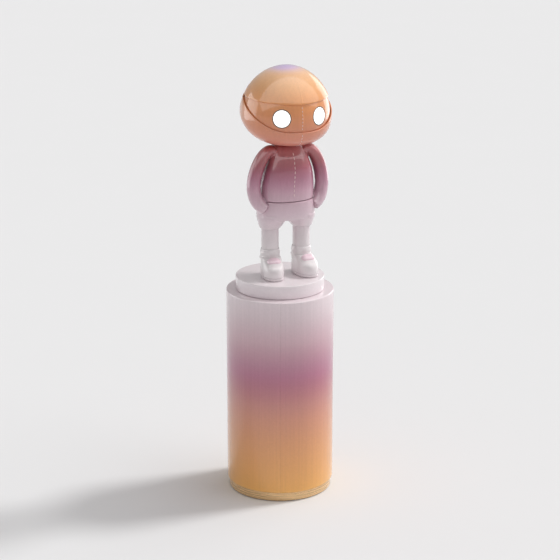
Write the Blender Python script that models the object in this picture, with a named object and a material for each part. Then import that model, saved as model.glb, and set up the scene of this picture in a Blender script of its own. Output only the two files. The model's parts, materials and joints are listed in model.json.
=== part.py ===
"""Vinyl art toy: a big-headed figure with lit eyes, on a display disc and a tall round pedestal.

The figure stands on the disc and lifts off the pedestal with it. Its head turns on the neck post,
the head's cap lifts off to reach the batteries, and a slide switch under the cap works the eyes.
The figure faces -Y, and its right side is at -X.
"""

import math

import bmesh
import bpy
from mathutils import Matrix, Vector

MM = 0.001
GAP = 0.3 * MM

# Pedestal: a hollow column on a recessed foot ring.
PEDESTAL_RADIUS = 65.0 * MM
PEDESTAL_TOP = 253.1 * MM
PEDESTAL_WALL = 4.0 * MM
PEDESTAL_EDGE = 2.0 * MM
COLUMN_BOTTOM = 11.5 * MM
FOOT_RADIUS = 62.6 * MM
FOOT_CLEARANCE = 0.8 * MM
FOOT_FLANGE_INNER = 50.0 * MM
FOOT_SPIGOT_RADIUS = PEDESTAL_RADIUS - PEDESTAL_WALL - 0.5 * MM
FOOT_SPIGOT_TOP = 24.0 * MM
BOSS_RADIUS = 5.0 * MM
BOSS_HEIGHT = 6.0 * MM
BASE_PLATE_BOTTOM = 5.6 * MM
BASE_PLATE_THICKNESS = 4.0 * MM
BALLAST_RADIUS = 50.0 * MM
BALLAST_THICKNESS = 12.0 * MM
BASE_SCREW_CIRCLE = 53.4 * MM

# The figure stands a little to its left of the pedestal's axis. Its chest and neck lean forward.
FIGURE_X = 7.3 * MM
CHEST_Y = -6.8 * MM
HIP_Y = -2.0 * MM
NECK_Y = -3.0 * MM

# Display disc under the shoes.
DISC_RADIUS = 53.5 * MM
DISC_BOTTOM = PEDESTAL_TOP + GAP
DISC_TOP = 269.7 * MM
DISC_CEILING = DISC_TOP - 5.0 * MM
DISC_WALL = 3.5 * MM

# Shoes, legs and socks.
LEG_SPREAD = 20.1 * MM
LEG_RADIUS = 10.5 * MM
LEG_BOTTOM = 280.0 * MM
SOLE_BOTTOM = DISC_TOP + GAP
SOLE_THICKNESS = 3.6 * MM
SHOE_TOP = 294.0 * MM
SHOE_FORWARD = 8.6 * MM
SHOE_HALF_LENGTH = 22.6 * MM
SHOE_HALF_WIDTH = 12.9 * MM
TOE_OUT = math.radians(6.0)
CUFF_BOTTOM = 291.0 * MM
CUFF_TOP = 304.0 * MM
CUFF_RADIUS = 12.2 * MM
ROD_RADIUS = 2.0 * MM
ROD_CLEARANCE = 0.4 * MM

# Shorts, hips and torso.
HEM_HEIGHT = 329.0 * MM
HEM_OPENING = 11.1 * MM
HIP_PLATE_BOTTOM = 352.0 * MM
HIP_PLATE_THICKNESS = 3.0 * MM
CLOTH_WALL = 2.4 * MM
ARM_RINGS = 15
ARM_DEPTH = 1.18
POST_RADIUS = 5.0 * MM
POST_TOP = 448.0 * MM

# Head: a ball that is flatter under its widest line, nodding forward about its centre.
# Heights on the head are along its own nodding axis, from its centre.
HEAD_CENTRE = 468.0 * MM
HEAD_NOD = math.radians(12.0)
HEAD_RADIUS = 54.4 * MM
HEAD_RISE = 56.3 * MM
HEAD_DROP = 31.4 * MM
CROWN_POWER = 1.9
CHIN_POWER_FRONT = 3.0
CHIN_POWER_BACK = 1.95
SKIN_WALL = 1.6 * MM
CORE_INSET = SKIN_WALL + 0.45 * MM
CORE_WALL = 2.4 * MM
CAP_EDGE_FRONT = 28.0 * MM
CAP_EDGE_BACK = 16.5 * MM
COWL_EDGE_FRONT = -4.0 * MM
COWL_EDGE_BACK = 15.6 * MM
COWL_NECK_RADIUS = 26.0 * MM
CORE_LAP = 4.0 * MM
EYE_HEIGHT = 11.6 * MM
EYE_AZIMUTH = math.radians(28.0)
EYE_TILT = math.radians(14.0)
EYE_RADIUS = 10.8 * MM
CUP_RADIUS = 12.8 * MM
CUP_FRONT = -4.8 * MM
CUP_BACK = -13.2 * MM
TRAY_BOTTOM = 15.6 * MM
TRAY_TOP = 18.0 * MM
TRAY_RADIUS = 45.2 * MM
BUSH_RADIUS = 8.6 * MM
BUSH_BOTTOM = 434.2 * MM
BUSH_FLANGE = 442.0 * MM
BUSH_TOP = 443.6 * MM

# Battery holder for two AAA cells, on the tray under the cap.
HOLDER_SIZE = (52.0 * MM, 25.0 * MM, 12.0 * MM)
HOLDER_Y = 6.0 * MM
CELL_RADIUS = 5.2 * MM
CELL_LENGTH = 44.5 * MM
SWITCH_Y = 28.0 * MM
SWITCH_SIZE = (12.0 * MM, 6.0 * MM, 5.0 * MM)
SWITCH_TRAVEL = 2.0 * MM
WIRE_RADIUS = 0.9 * MM

ROUND = 32
HEAD_ROUND = 32
FINE = 20
SMALL = 12
BORE = 10


def clear_scene():
    for item in list(bpy.data.objects):
        bpy.data.objects.remove(item, do_unlink=True)


def paint(name, color, roughness, metallic=0.0):
    material = bpy.data.materials.new(name)
    material.use_nodes = True
    shader = material.node_tree.nodes["Principled BSDF"]
    shader.inputs["Base Color"].default_value = (*color, 1.0)
    shader.inputs["Roughness"].default_value = roughness
    shader.inputs["Metallic"].default_value = metallic
    return material


def pivot(name, location, parent=None):
    empty = bpy.data.objects.new(name, None)
    empty.location = location
    empty.parent = parent
    bpy.context.scene.collection.objects.link(empty)
    return empty


def place(name, bm, material, parent, location=(0.0, 0.0, 0.0), turn=None):
    """Turn a bmesh into a named, smooth-shaded object under its parent."""
    bmesh.ops.recalc_face_normals(bm, faces=bm.faces)
    mesh = bpy.data.meshes.new(name)
    bm.to_mesh(mesh)
    bm.free()
    mesh.shade_smooth()
    mesh.set_sharp_from_angle(angle=math.radians(35.0))
    mesh.materials.append(material)
    item = bpy.data.objects.new(name, mesh)
    item.parent = parent
    item.location = location
    if turn is not None:
        item.rotation_mode = "QUATERNION"
        item.rotation_quaternion = turn
    bpy.context.scene.collection.objects.link(item)
    return item


def cut(target, cutter, operation="DIFFERENCE"):
    """Cut the target with a hidden cutter, or join a hidden guide to it."""
    cutter.hide_render = True
    cutter.display_type = "WIRE"
    modifier = target.modifiers.new(cutter.name, "BOOLEAN")
    modifier.operation = operation
    modifier.object = cutter
    modifier.solver = "EXACT"


def turned(profile, segments=ROUND):
    """Spin a closed profile of (radius, height) points about the upright axis."""
    bm = bmesh.new()
    points = [bm.verts.new((radius, 0.0, height)) for radius, height in profile]
    edges = []
    for first, second in zip(points, points[1:] + points[:1]):
        if first.co.x > 0.0 or second.co.x > 0.0:
            edges.append(bm.edges.new((first, second)))
    bmesh.ops.spin(bm, geom=points + edges, cent=(0, 0, 0), axis=(0, 0, 1),
                   steps=segments, angle=math.tau, use_merge=True)
    bmesh.ops.remove_doubles(bm, verts=bm.verts, dist=1e-6)
    return bm


def disc(radius, bottom, top, segments=ROUND):
    return turned([(0.0, bottom), (radius, bottom), (radius, top), (0.0, top)], segments)


def washer(inner, outer, bottom, top, segments=ROUND):
    return turned([(inner, bottom), (outer, bottom), (outer, top), (inner, top)], segments)


def block(size, centre):
    bm = bmesh.new()
    bmesh.ops.create_cube(bm, size=1.0, matrix=Matrix.Translation(centre) @ Matrix.Diagonal((*size, 1.0)))
    return bm


def merged(*pieces):
    """Gather several bmeshes into one, keeping them as separate solids."""
    whole = bmesh.new()
    for piece in pieces:
        mesh = bpy.data.meshes.new("gathered")
        piece.to_mesh(mesh)
        piece.free()
        whole.from_mesh(mesh)
        bpy.data.meshes.remove(mesh)
    return whole


def moved(bm, offset):
    bmesh.ops.translate(bm, verts=bm.verts, vec=Vector(offset))
    return bm


def oval(half_x, half_y, height, count=FINE, power=2.0, centre=(0.0, 0.0)):
    """One ring of a loft: a circle, an ellipse or a rounder box when power is above 2."""
    ring = []
    for step in range(count):
        angle = math.tau * step / count
        cosine = math.cos(angle)
        sine = math.sin(angle)
        x = half_x * math.copysign(abs(cosine) ** (2.0 / power), cosine)
        y = half_y * math.copysign(abs(sine) ** (2.0 / power), sine)
        ring.append(Vector((centre[0] + x, centre[1] + y, height)))
    return ring


def lofted(rings, closed=False):
    """Join rings in order. An open loft gets flat ends, a closed one runs back to its first ring."""
    bm = bmesh.new()
    loops = [[bm.verts.new(point) for point in ring] for ring in rings]
    pairs = list(zip(loops, loops[1:]))
    if closed:
        pairs.append((loops[-1], loops[0]))
    for lower, upper in pairs:
        for step in range(max(len(lower), len(upper))):
            corners = [lower[step % len(lower)], lower[(step + 1) % len(lower)],
                       upper[(step + 1) % len(upper)], upper[step % len(upper)]]
            corners = list(dict.fromkeys(corners))
            if len(corners) > 2:
                bm.faces.new(corners)
    if not closed:
        for loop in (loops[0], loops[-1]):
            if len(loop) > 2:
                bm.faces.new(loop)
    return bm


def swept(points, radii, count=SMALL, depth=1.0):
    """A round or oval limb along a path; depth stretches it front to back."""
    rings = []
    for index, (point, radius) in enumerate(zip(points, radii)):
        before = points[max(index - 1, 0)]
        after = points[min(index + 1, len(points) - 1)]
        along = (Vector(after) - Vector(before)).normalized()
        side = along.cross(Vector((0.0, 1.0, 0.0))).normalized()
        front = side.cross(along).normalized()
        ring = []
        for step in range(count):
            angle = math.tau * step / count
            offset = side * math.cos(angle) * radius + front * math.sin(angle) * radius * depth
            ring.append(Vector(point) + offset)
        rings.append(ring)
    return lofted(rings)


def smooth_curve(points, count):
    """Catmull-Rom curve through the points, read at even steps."""
    knots = [Vector(point) for point in points]
    knots = [2 * knots[0] - knots[1]] + knots + [2 * knots[-1] - knots[-2]]
    spans = len(knots) - 3
    curve = []
    for step in range(count):
        place_on = min(step / (count - 1) * spans, spans - 1e-9)
        span = int(place_on)
        t = place_on - span
        a, b, c, d = knots[span:span + 4]
        curve.append(0.5 * (2 * b + (c - a) * t + (2 * a - 5 * b + 4 * c - d) * t ** 2
                            + (3 * b - a - 3 * c + d) * t ** 3))
    return curve


def blend(start, end, value):
    """Ease from 0 to 1 as value runs from start to end."""
    t = min(max((value - start) / (end - start), 0.0), 1.0)
    return t * t * (3.0 - 2.0 * t)


# ---- pedestal ----

def pedestal(materials):
    base = pivot("pedestal_frame", (0.0, 0.0, 0.0))

    groove_inner = FOOT_RADIUS - 6.6 * MM
    groove_outer = FOOT_RADIUS - 1.6 * MM
    groove_top = 2.4 * MM
    foot_profile = [
        (FOOT_FLANGE_INNER, FOOT_CLEARANCE), (groove_inner, FOOT_CLEARANCE), (groove_inner, groove_top),
        (groove_outer, groove_top), (groove_outer, FOOT_CLEARANCE),
        (FOOT_RADIUS - 0.6 * MM, FOOT_CLEARANCE), (FOOT_RADIUS, FOOT_CLEARANCE + 0.6 * MM),
        (FOOT_RADIUS, COLUMN_BOTTOM - GAP), (FOOT_SPIGOT_RADIUS, COLUMN_BOTTOM - GAP),
        (FOOT_SPIGOT_RADIUS, FOOT_SPIGOT_TOP), (FOOT_SPIGOT_RADIUS - 2.5 * MM, FOOT_SPIGOT_TOP),
        (FOOT_SPIGOT_RADIUS - 2.5 * MM, BASE_PLATE_BOTTOM - GAP),
        (FOOT_FLANGE_INNER, BASE_PLATE_BOTTOM - GAP)]
    foot = place("foot_ring", turned(foot_profile), materials["champagne"], base)

    grip = washer(groove_inner + GAP, groove_outer - GAP, 0.0, groove_top - GAP)
    place("anti_slip_ring", grip, materials["rubber"], base)

    plate_radius = FOOT_SPIGOT_RADIUS - 2.5 * MM - 2 * GAP
    plate_top = BASE_PLATE_BOTTOM + BASE_PLATE_THICKNESS
    plate_shape = disc(plate_radius, BASE_PLATE_BOTTOM, plate_top)
    plate = place("base_plate", plate_shape, materials["grey_plastic"], base)

    shank = 1.4 * MM
    head = 2.7 * MM
    holes = []
    for index in range(4):
        angle = math.tau * (index + 0.5) / 4
        spot = (BASE_SCREW_CIRCLE * math.cos(angle), BASE_SCREW_CIRCLE * math.sin(angle), 0.0)
        profile = [(0.0, 1.2 * MM), (head, 1.2 * MM), (head, 2.6 * MM), (shank, 2.6 * MM),
                   (shank, plate_top - 0.6 * MM), (0.0, plate_top - 0.6 * MM)]
        place(f"base_screw_{index + 1}", turned(profile, BORE), materials["steel"], base, spot)
        hole = [(0.0, -5 * MM), (head + GAP, -5 * MM), (head + GAP, 2.9 * MM), (shank + GAP, 2.9 * MM),
                (shank + GAP, plate_top + 5 * MM), (0.0, plate_top + 5 * MM)]
        holes.append(moved(turned(hole, BORE), spot))
    screw_holes = place("screw_hole_cutter", merged(*holes), materials["steel"], base)
    cut(foot, screw_holes)
    cut(plate, screw_holes)

    bolt_shank = 3.0 * MM
    ballast_bottom = plate_top + GAP
    ballast_top = ballast_bottom + BALLAST_THICKNESS
    bolt_hole = place("bolt_hole_cutter", disc(bolt_shank + GAP, 0.0, ballast_top + 9 * MM, SMALL),
                      materials["steel"], base)
    cut(plate, bolt_hole)
    ballast_shape = disc(BALLAST_RADIUS, ballast_bottom, ballast_top)
    ballast = place("ballast_disc", ballast_shape, materials["cast_iron"], base)
    cut(ballast, bolt_hole)
    bolt_profile = [(0.0, 1.6 * MM), (5.2 * MM, 1.6 * MM), (5.2 * MM, BASE_PLATE_BOTTOM - GAP),
                    (bolt_shank, BASE_PLATE_BOTTOM - GAP), (bolt_shank, ballast_top + 6.5 * MM),
                    (0.0, ballast_top + 6.5 * MM)]
    place("ballast_bolt", turned(bolt_profile, SMALL), materials["steel"], base)
    place("ballast_nut", washer(bolt_shank + GAP, 5.6 * MM, ballast_top + GAP, ballast_top + 5.3 * MM, BORE),
          materials["steel"], base)

    inner = PEDESTAL_RADIUS - PEDESTAL_WALL
    edge = PEDESTAL_EDGE
    lower_edge = 3.5 * MM
    column_profile = [
        (inner, COLUMN_BOTTOM), (FOOT_RADIUS - 0.6 * MM, COLUMN_BOTTOM),
        (PEDESTAL_RADIUS - 0.3 * lower_edge, COLUMN_BOTTOM + 0.3 * lower_edge),
        (PEDESTAL_RADIUS, COLUMN_BOTTOM + lower_edge),
        (PEDESTAL_RADIUS, PEDESTAL_TOP - edge), (PEDESTAL_RADIUS - 0.3 * edge, PEDESTAL_TOP - 0.3 * edge),
        (PEDESTAL_RADIUS - edge, PEDESTAL_TOP), (BOSS_RADIUS, PEDESTAL_TOP),
        (BOSS_RADIUS, PEDESTAL_TOP + BOSS_HEIGHT - 1 * MM),
        (BOSS_RADIUS - 1 * MM, PEDESTAL_TOP + BOSS_HEIGHT),
        (0.0, PEDESTAL_TOP + BOSS_HEIGHT), (0.0, PEDESTAL_TOP - PEDESTAL_WALL),
        (inner, PEDESTAL_TOP - PEDESTAL_WALL)]
    place("pedestal_column", turned(column_profile), materials["ombre_lacquer"], base)


# ---- display disc, shoes, legs ----

def display_disc(materials, figure):
    edge = 1.0 * MM
    collar_inner = BOSS_RADIUS + 0.4 * MM
    collar_outer = collar_inner + 2.5 * MM
    inner = DISC_RADIUS - DISC_WALL
    profile = [
        (0.0, DISC_TOP), (DISC_RADIUS - edge, DISC_TOP), (DISC_RADIUS, DISC_TOP - edge),
        (DISC_RADIUS, DISC_BOTTOM + edge), (DISC_RADIUS - edge, DISC_BOTTOM), (inner, DISC_BOTTOM),
        (inner, DISC_CEILING), (collar_outer, DISC_CEILING), (collar_outer, DISC_BOTTOM),
        (collar_inner, DISC_BOTTOM), (collar_inner, DISC_CEILING), (0.0, DISC_CEILING)]
    plate = place("display_disc", turned(profile), materials["white_lacquer"], figure, (-FIGURE_X, 0.0, 0.0))
    hole = ROD_RADIUS + ROD_CLEARANCE
    pair = [moved(disc(hole, DISC_CEILING - 2 * MM, DISC_TOP + 2 * MM, BORE), (side * LEG_SPREAD, 0.0, 0.0))
            for side in (-1, 1)]
    cut(plate, place("disc_hole_cutter", merged(*pair), materials["steel"], figure))


def shoe_outline(height, grow, back, front, count=FINE):
    """Outline of the shoe at one height, from heel to toe along -Y; the toe is the wider end."""
    ring = []
    middle = 0.5 * (back - front)
    half = 0.5 * (back + front)
    for step in range(count):
        angle = math.tau * step / count
        cosine = math.cos(angle)
        sine = math.sin(angle)
        along = half * math.copysign(abs(sine) ** 0.85, sine)
        width = SHOE_HALF_WIDTH * grow * (1.0 - 0.06 * sine)
        ring.append(Vector((width * math.copysign(abs(cosine) ** 0.85, cosine), middle + along, height)))
    return ring


def leg_parts(materials, figure, side, sign):
    """Sole, shoe, sock cuff, leg and the long screw that clamps them, about one leg's axis."""
    leg = pivot(f"leg_frame_{side}", (sign * LEG_SPREAD, 0.0, 0.0), figure)
    toe = Matrix.Rotation(sign * TOE_OUT, 4, "Z").to_quaternion()
    back = SHOE_HALF_LENGTH - SHOE_FORWARD
    front = SHOE_HALF_LENGTH + SHOE_FORWARD
    sole_top = SOLE_BOTTOM + SOLE_THICKNESS

    rod_hole = place(f"rod_hole_cutter_{side}",
                     disc(ROD_RADIUS + ROD_CLEARANCE, SOLE_BOTTOM - 2 * MM, HIP_PLATE_BOTTOM + 8 * MM, BORE),
                     materials["steel"], leg)

    sole = lofted([shoe_outline(SOLE_BOTTOM, 0.93, back - 1.2 * MM, front - 1.2 * MM),
                   shoe_outline(SOLE_BOTTOM + 1.2 * MM, 1.0, back, front),
                   shoe_outline(sole_top, 1.0, back, front)])
    sole = place(f"sole_{side}", sole, materials["white_lacquer"], leg, turn=toe)
    cut(sole, rod_hole)

    rise = SHOE_TOP - sole_top - GAP
    floor = sole_top + GAP
    upper = lofted([shoe_outline(floor, 0.98, back - 0.3 * MM, front - 0.3 * MM),
                    shoe_outline(floor + 0.22 * rise, 1.0, back, front),
                    shoe_outline(floor + 0.45 * rise, 0.99, back, front - 1.2 * MM),
                    shoe_outline(floor + 0.65 * rise, 0.95, back - 0.2 * MM, front - 4.6 * MM),
                    shoe_outline(floor + 0.80 * rise, 0.92, back - 0.2 * MM, front - 10.6 * MM),
                    shoe_outline(floor + 0.92 * rise, 0.94, back - 0.3 * MM, front - 15.0 * MM),
                    shoe_outline(SHOE_TOP, 0.92, back - 0.8 * MM, front - 17.0 * MM)])
    upper = place(f"shoe_{side}", upper, materials["white_lacquer"], leg, turn=toe)
    socket = turned([(0.0, LEG_BOTTOM - GAP), (LEG_RADIUS + GAP, LEG_BOTTOM - GAP),
                     (LEG_RADIUS + GAP, CUFF_BOTTOM - GAP), (CUFF_RADIUS - 0.6 * MM, CUFF_BOTTOM - GAP),
                     (CUFF_RADIUS - 0.6 * MM, SHOE_TOP + 3 * MM), (0.0, SHOE_TOP + 3 * MM)], FINE)
    cut(upper, place(f"shoe_socket_cutter_{side}", socket, materials["steel"], leg))
    cut(upper, rod_hole)

    fold = 0.5 * (CUFF_BOTTOM + CUFF_TOP)
    lip = SHOE_TOP + GAP
    cuff = turned([(LEG_RADIUS + GAP, CUFF_BOTTOM), (CUFF_RADIUS - 1.0 * MM, CUFF_BOTTOM),
                   (CUFF_RADIUS - 1.0 * MM, lip), (CUFF_RADIUS - 0.2 * MM, lip + 0.8 * MM),
                   (CUFF_RADIUS, fold), (CUFF_RADIUS - 0.2 * MM, CUFF_TOP - 1.2 * MM),
                   (CUFF_RADIUS - 0.8 * MM, CUFF_TOP), (LEG_RADIUS + GAP, CUFF_TOP)], FINE)
    place(f"sock_cuff_{side}", cuff, materials["white_lacquer"], leg)

    shin = place(f"leg_{side}", disc(LEG_RADIUS, LEG_BOTTOM, HIP_PLATE_BOTTOM - GAP, FINE),
                 materials["white_lacquer"], leg)
    cut(shin, rod_hole)

    nut_bottom = HIP_PLATE_BOTTOM + HIP_PLATE_THICKNESS + GAP
    screw = turned([(0.0, DISC_CEILING - 3.4 * MM), (3.8 * MM, DISC_CEILING - 3.4 * MM),
                    (3.8 * MM, DISC_CEILING - GAP), (ROD_RADIUS, DISC_CEILING - GAP),
                    (ROD_RADIUS, nut_bottom + 4.6 * MM), (0.0, nut_bottom + 4.6 * MM)], BORE)
    place(f"leg_screw_{side}", screw, materials["steel"], leg)
    place(f"hip_nut_{side}", washer(ROD_RADIUS + GAP, 4.0 * MM, nut_bottom, nut_bottom + 3.2 * MM, BORE),
          materials["steel"], leg)


# ---- shorts, torso, arms ----

def arm_path(sign):
    """Middle line of an arm, from the shoulder seat round the elbow to the hand in its pocket."""
    knots = [(18.5, -7.6, 424.4), (25.0, -8.2, 424.4), (31.8, -8.4, 418.6), (38.3, -7.6, 406.4),
             (42.3, -6.6, 392.5), (43.4, -6.4, 379.0), (40.8, -7.6, 367.0), (36.0, -9.6, 359.6),
             (30.8, -11.2, 355.5)]
    return smooth_curve([(sign * x * MM, y * MM, z * MM) for x, y, z in knots], ARM_RINGS)


def arm_radii(grow=0.0):
    """Slim at the shoulder, full along the sleeve, and a little slimmer at the wrist."""
    radii = []
    for step in range(ARM_RINGS):
        t = step / (ARM_RINGS - 1)
        radii.append((6.6 + 1.5 * blend(0.05, 0.42, t) - 0.6 * blend(0.75, 1.0, t)) * MM + grow)
    return radii


def shorts(materials, figure):
    outer = [(35.2, 24.2, 341.5), (35.6, 25.0, 345.0), (35.2, 25.2, 352.0), (33.8, 24.8, 359.0),
             (32.6, 24.4, 364.0)]
    wall = CLOTH_WALL
    body_rings = [oval(x * MM, y * MM, z * MM, power=2.3, centre=(0.0, HIP_Y * blend(345, 364, z)))
                  for x, y, z in outer]
    hull = place("shorts", lofted(body_rings), materials["white_lacquer"], figure)
    inner_rings = [oval(x * MM - wall, y * MM - wall, z * MM, power=2.3,
                        centre=(0.0, HIP_Y * blend(345, 364, z))) for x, y, z in outer]
    inner_rings[0] = [point + Vector((0.0, 0.0, 3.0 * MM)) for point in inner_rings[0]]
    inner_rings.append([point + Vector((0.0, 0.0, 6.0 * MM)) for point in inner_rings[-1]])

    leg_rings = [(20.3, 12.0, 12.2, 329.0), (20.3, 12.6, 12.8, 329.8), (19.3, 14.4, 15.0, 333.0),
                 (18.4, 16.4, 18.6, 338.0), (17.9, 17.6, 21.4, 341.5), (17.9, 17.6, 22.4, 346.0)]
    for side, sign in (("right", -1), ("left", 1)):
        tube = lofted([oval(x * MM, y * MM, z * MM, power=2.1, centre=(sign * along * MM, 0.0))
                       for along, x, y, z in leg_rings])
        cut(hull, place(f"shorts_leg_guide_{side}", tube, materials["steel"], figure), "UNION")
    cut(hull, place("shorts_inner_cutter", lofted(inner_rings), materials["steel"], figure))
    openings = [moved(disc(HEM_OPENING, HEM_HEIGHT - 3 * MM, 348.0 * MM, FINE),
                      (sign * LEG_SPREAD, 0.0, 0.0))
                for sign in (-1, 1)]
    cut(hull, place("leg_opening_cutter", merged(*openings), materials["steel"], figure))
    cut_for_arms(hull, "shorts", materials, figure)


def cut_for_arms(item, name, materials, figure):
    """Leave the arms their clearance where they enter a piece."""
    for side, sign in (("right", -1), ("left", 1)):
        room = swept(arm_path(sign), arm_radii(2 * GAP), depth=ARM_DEPTH)
        cut(item, place(f"{name}_arm_cutter_{side}", room, materials["steel"], figure))


def chest_lean(z):
    """How far the sweater's middle stands from the figure's axis at a height in millimetres."""
    return HIP_Y + (CHEST_Y - HIP_Y) * blend(380, 406, z) + (NECK_Y - CHEST_Y) * blend(416, 430, z)


def torso(materials, figure):
    """Hollow sweater body: narrow at the shoulders, wider at the hem, tucked into the shorts."""
    outer = [(29.2, 21.0, 357.5), (29.4, 21.2, 363.9), (32.4, 24.0, 364.6), (33.0, 24.6, 370.0),
             (32.8, 25.2, 384.0), (30.0, 23.8, 398.0), (25.8, 21.2, 411.0), (22.4, 18.6, 420.0),
             (20.0, 16.6, 426.0), (17.8, 14.4, 430.0), (14.4, 12.4, 431.2)]
    wall = CLOTH_WALL
    rings = []
    for x, y, z in outer:
        lean = chest_lean(z)
        rings.append(oval(x * MM, y * MM, z * MM, power=2.2, centre=(0.0, lean)))
    inner = []
    for x, y, z in outer:
        lean = chest_lean(z)
        low = z * MM - (0.0 if z < 420 else 0.8 * wall)
        inner.append(oval(x * MM - wall, y * MM - wall, low, power=2.2, centre=(0.0, lean)))
    item = place("torso", lofted(rings + inner[::-1], closed=True), materials["ombre_lacquer"], figure)
    cut_for_arms(item, "torso", materials, figure)


def arms(materials, figure):
    for side, sign in (("right", -1), ("left", 1)):
        sleeve = swept(arm_path(sign), arm_radii(), depth=ARM_DEPTH)
        place(f"arm_{side}", sleeve, materials["ombre_lacquer"], figure)


def hips_and_neck(materials, figure):
    plate_top = HIP_PLATE_BOTTOM + HIP_PLATE_THICKNESS
    plate_rings = [oval(27.6 * MM, 12.5 * MM, z, power=2.6, centre=(0.0, 1.0 * MM))
                   for z in (HIP_PLATE_BOTTOM, plate_top)]
    plate = place("hip_plate", lofted(plate_rings),
                  materials["grey_plastic"], figure)
    cut_for_arms(plate, "hip_plate", materials, figure)
    holes = [moved(disc(ROD_RADIUS + ROD_CLEARANCE, HIP_PLATE_BOTTOM - 2 * MM, plate_top + 2 * MM, BORE),
                   (sign * LEG_SPREAD, 0.0, 0.0)) for sign in (-1, 1)]
    cut(plate, place("hip_hole_cutter", merged(*holes), materials["steel"], figure))

    neck = pivot("neck_frame", (0.0, NECK_Y, 0.0), figure)
    foot = plate_top + GAP
    post = turned([(0.0, foot), (8.5 * MM, foot), (8.5 * MM, foot + 2.5 * MM), (POST_RADIUS, foot + 5 * MM),
                   (POST_RADIUS, POST_TOP - 4.2 * MM), (POST_RADIUS - 1.2 * MM, POST_TOP - 4.2 * MM),
                   (POST_RADIUS - 1.2 * MM, POST_TOP - 2.4 * MM), (POST_RADIUS, POST_TOP - 2.4 * MM),
                   (POST_RADIUS, POST_TOP - 1 * MM),
                   (POST_RADIUS - 1 * MM, POST_TOP), (0.0, POST_TOP)], SMALL)
    place("neck_post", post, materials["grey_plastic"], neck)
    clip_bottom = POST_TOP - 4.2 * MM + GAP
    clip = washer(POST_RADIUS - 1.2 * MM + GAP, 8.0 * MM, clip_bottom, clip_bottom + 1.2 * MM, SMALL)
    place("neck_clip", clip, materials["steel"], neck)

    collar = [oval(15.2 * MM, 13.6 * MM, 431.5 * MM, power=2.1),
              oval(15.0 * MM, 13.4 * MM, 432.4 * MM, power=2.1),
              oval(14.4 * MM, 12.8 * MM, 432.9 * MM, power=2.1)]
    lining = [oval(11.2 * MM, 10.2 * MM, 432.9 * MM), oval(11.0 * MM, 10.0 * MM, 431.5 * MM)]
    place("neck_collar", lofted(collar + lining, closed=True), materials["ombre_lacquer"], neck)
    place("friction_washer", washer(POST_RADIUS + GAP, 9.0 * MM, 432.4 * MM, BUSH_BOTTOM - GAP, SMALL),
          materials["rubber"], neck)


# ---- head ----

def chin_power(azimuth):
    """How full the head is under its widest line: fuller at the chin than at the nape."""
    fall = blend(math.radians(40.0), math.radians(130.0), abs(azimuth))
    return CHIN_POWER_FRONT + (CHIN_POWER_BACK - CHIN_POWER_FRONT) * fall


def tilt_at(height, azimuth, inset=0.0):
    """Angle up the head's profile, -90 under it and 90 at the crown, where it reaches a height."""
    if height < 0.0:
        return -math.asin(min(-height / (HEAD_DROP - inset), 1.0) ** (chin_power(azimuth) / 2.0))
    return math.asin(min(height / (HEAD_RISE - inset), 1.0) ** (CROWN_POWER / 2.0))


def tilt_under(radius, azimuth):
    """The same angle on the underside, where the profile is this far from the head's axis."""
    return -math.acos((radius / HEAD_RADIUS) ** (chin_power(azimuth) / 2.0))


def head_point(azimuth, tilt, inset=0.0):
    """Point on the head's skin, or on a surface inset from it; azimuth 0 is the middle of the face."""
    power, reach = (CROWN_POWER, HEAD_RISE) if tilt >= 0.0 else (chin_power(azimuth), HEAD_DROP)
    radius = (HEAD_RADIUS - inset) * max(math.cos(tilt), 0.0) ** (2.0 / power)
    height = math.copysign((reach - inset) * abs(math.sin(tilt)) ** (2.0 / power), tilt)
    return Vector((radius * math.sin(azimuth), -radius * math.cos(azimuth), height))


def cap_edge(azimuth):
    """The cap's lower edge, raised over the brow and lowest behind."""
    fall = blend(math.radians(20.0), math.radians(150.0), abs(azimuth))
    return CAP_EDGE_FRONT + (CAP_EDGE_BACK - CAP_EDGE_FRONT) * fall


def cowl_edge(azimuth):
    """The cowl's upper edge, under the eyes in front and sweeping up to meet the cap behind."""
    rise = blend(math.radians(20.0), math.radians(110.0), abs(azimuth))
    return COWL_EDGE_FRONT + (COWL_EDGE_BACK - COWL_EDGE_FRONT) * rise


def skin(low, high, rows, inset, wall):
    """A shell of even wall on the head, between two edges given as tilts by azimuth."""
    azimuths = [math.tau * step / HEAD_ROUND - math.pi for step in range(HEAD_ROUND)]
    layers = []
    for depth in (inset, inset + wall):
        rings = []
        for row in range(rows + 1):
            ring = []
            for azimuth in azimuths:
                tilt = low(azimuth) + (high(azimuth) - low(azimuth)) * row / rows
                ring.append(head_point(azimuth, tilt, depth))
            at_crown = (ring[0] - ring[HEAD_ROUND // 2]).length < 1e-6
            rings.append(ring[:1] if at_crown else ring)
        layers.append(rings)
    return lofted(layers[0] + layers[1][::-1], closed=True)


def eye_frame(sign):
    """Centre of an eye on the face and the turn that points +Z out of it."""
    tilt = tilt_at(EYE_HEIGHT, sign * EYE_AZIMUTH, CORE_INSET)
    centre = head_point(sign * EYE_AZIMUTH, tilt, CORE_INSET)
    outward = Vector((sign * math.sin(EYE_AZIMUTH) * math.cos(EYE_TILT),
                      -math.cos(EYE_AZIMUTH) * math.cos(EYE_TILT), math.sin(EYE_TILT)))
    return centre, outward.to_track_quat("Z", "Y")


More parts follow.
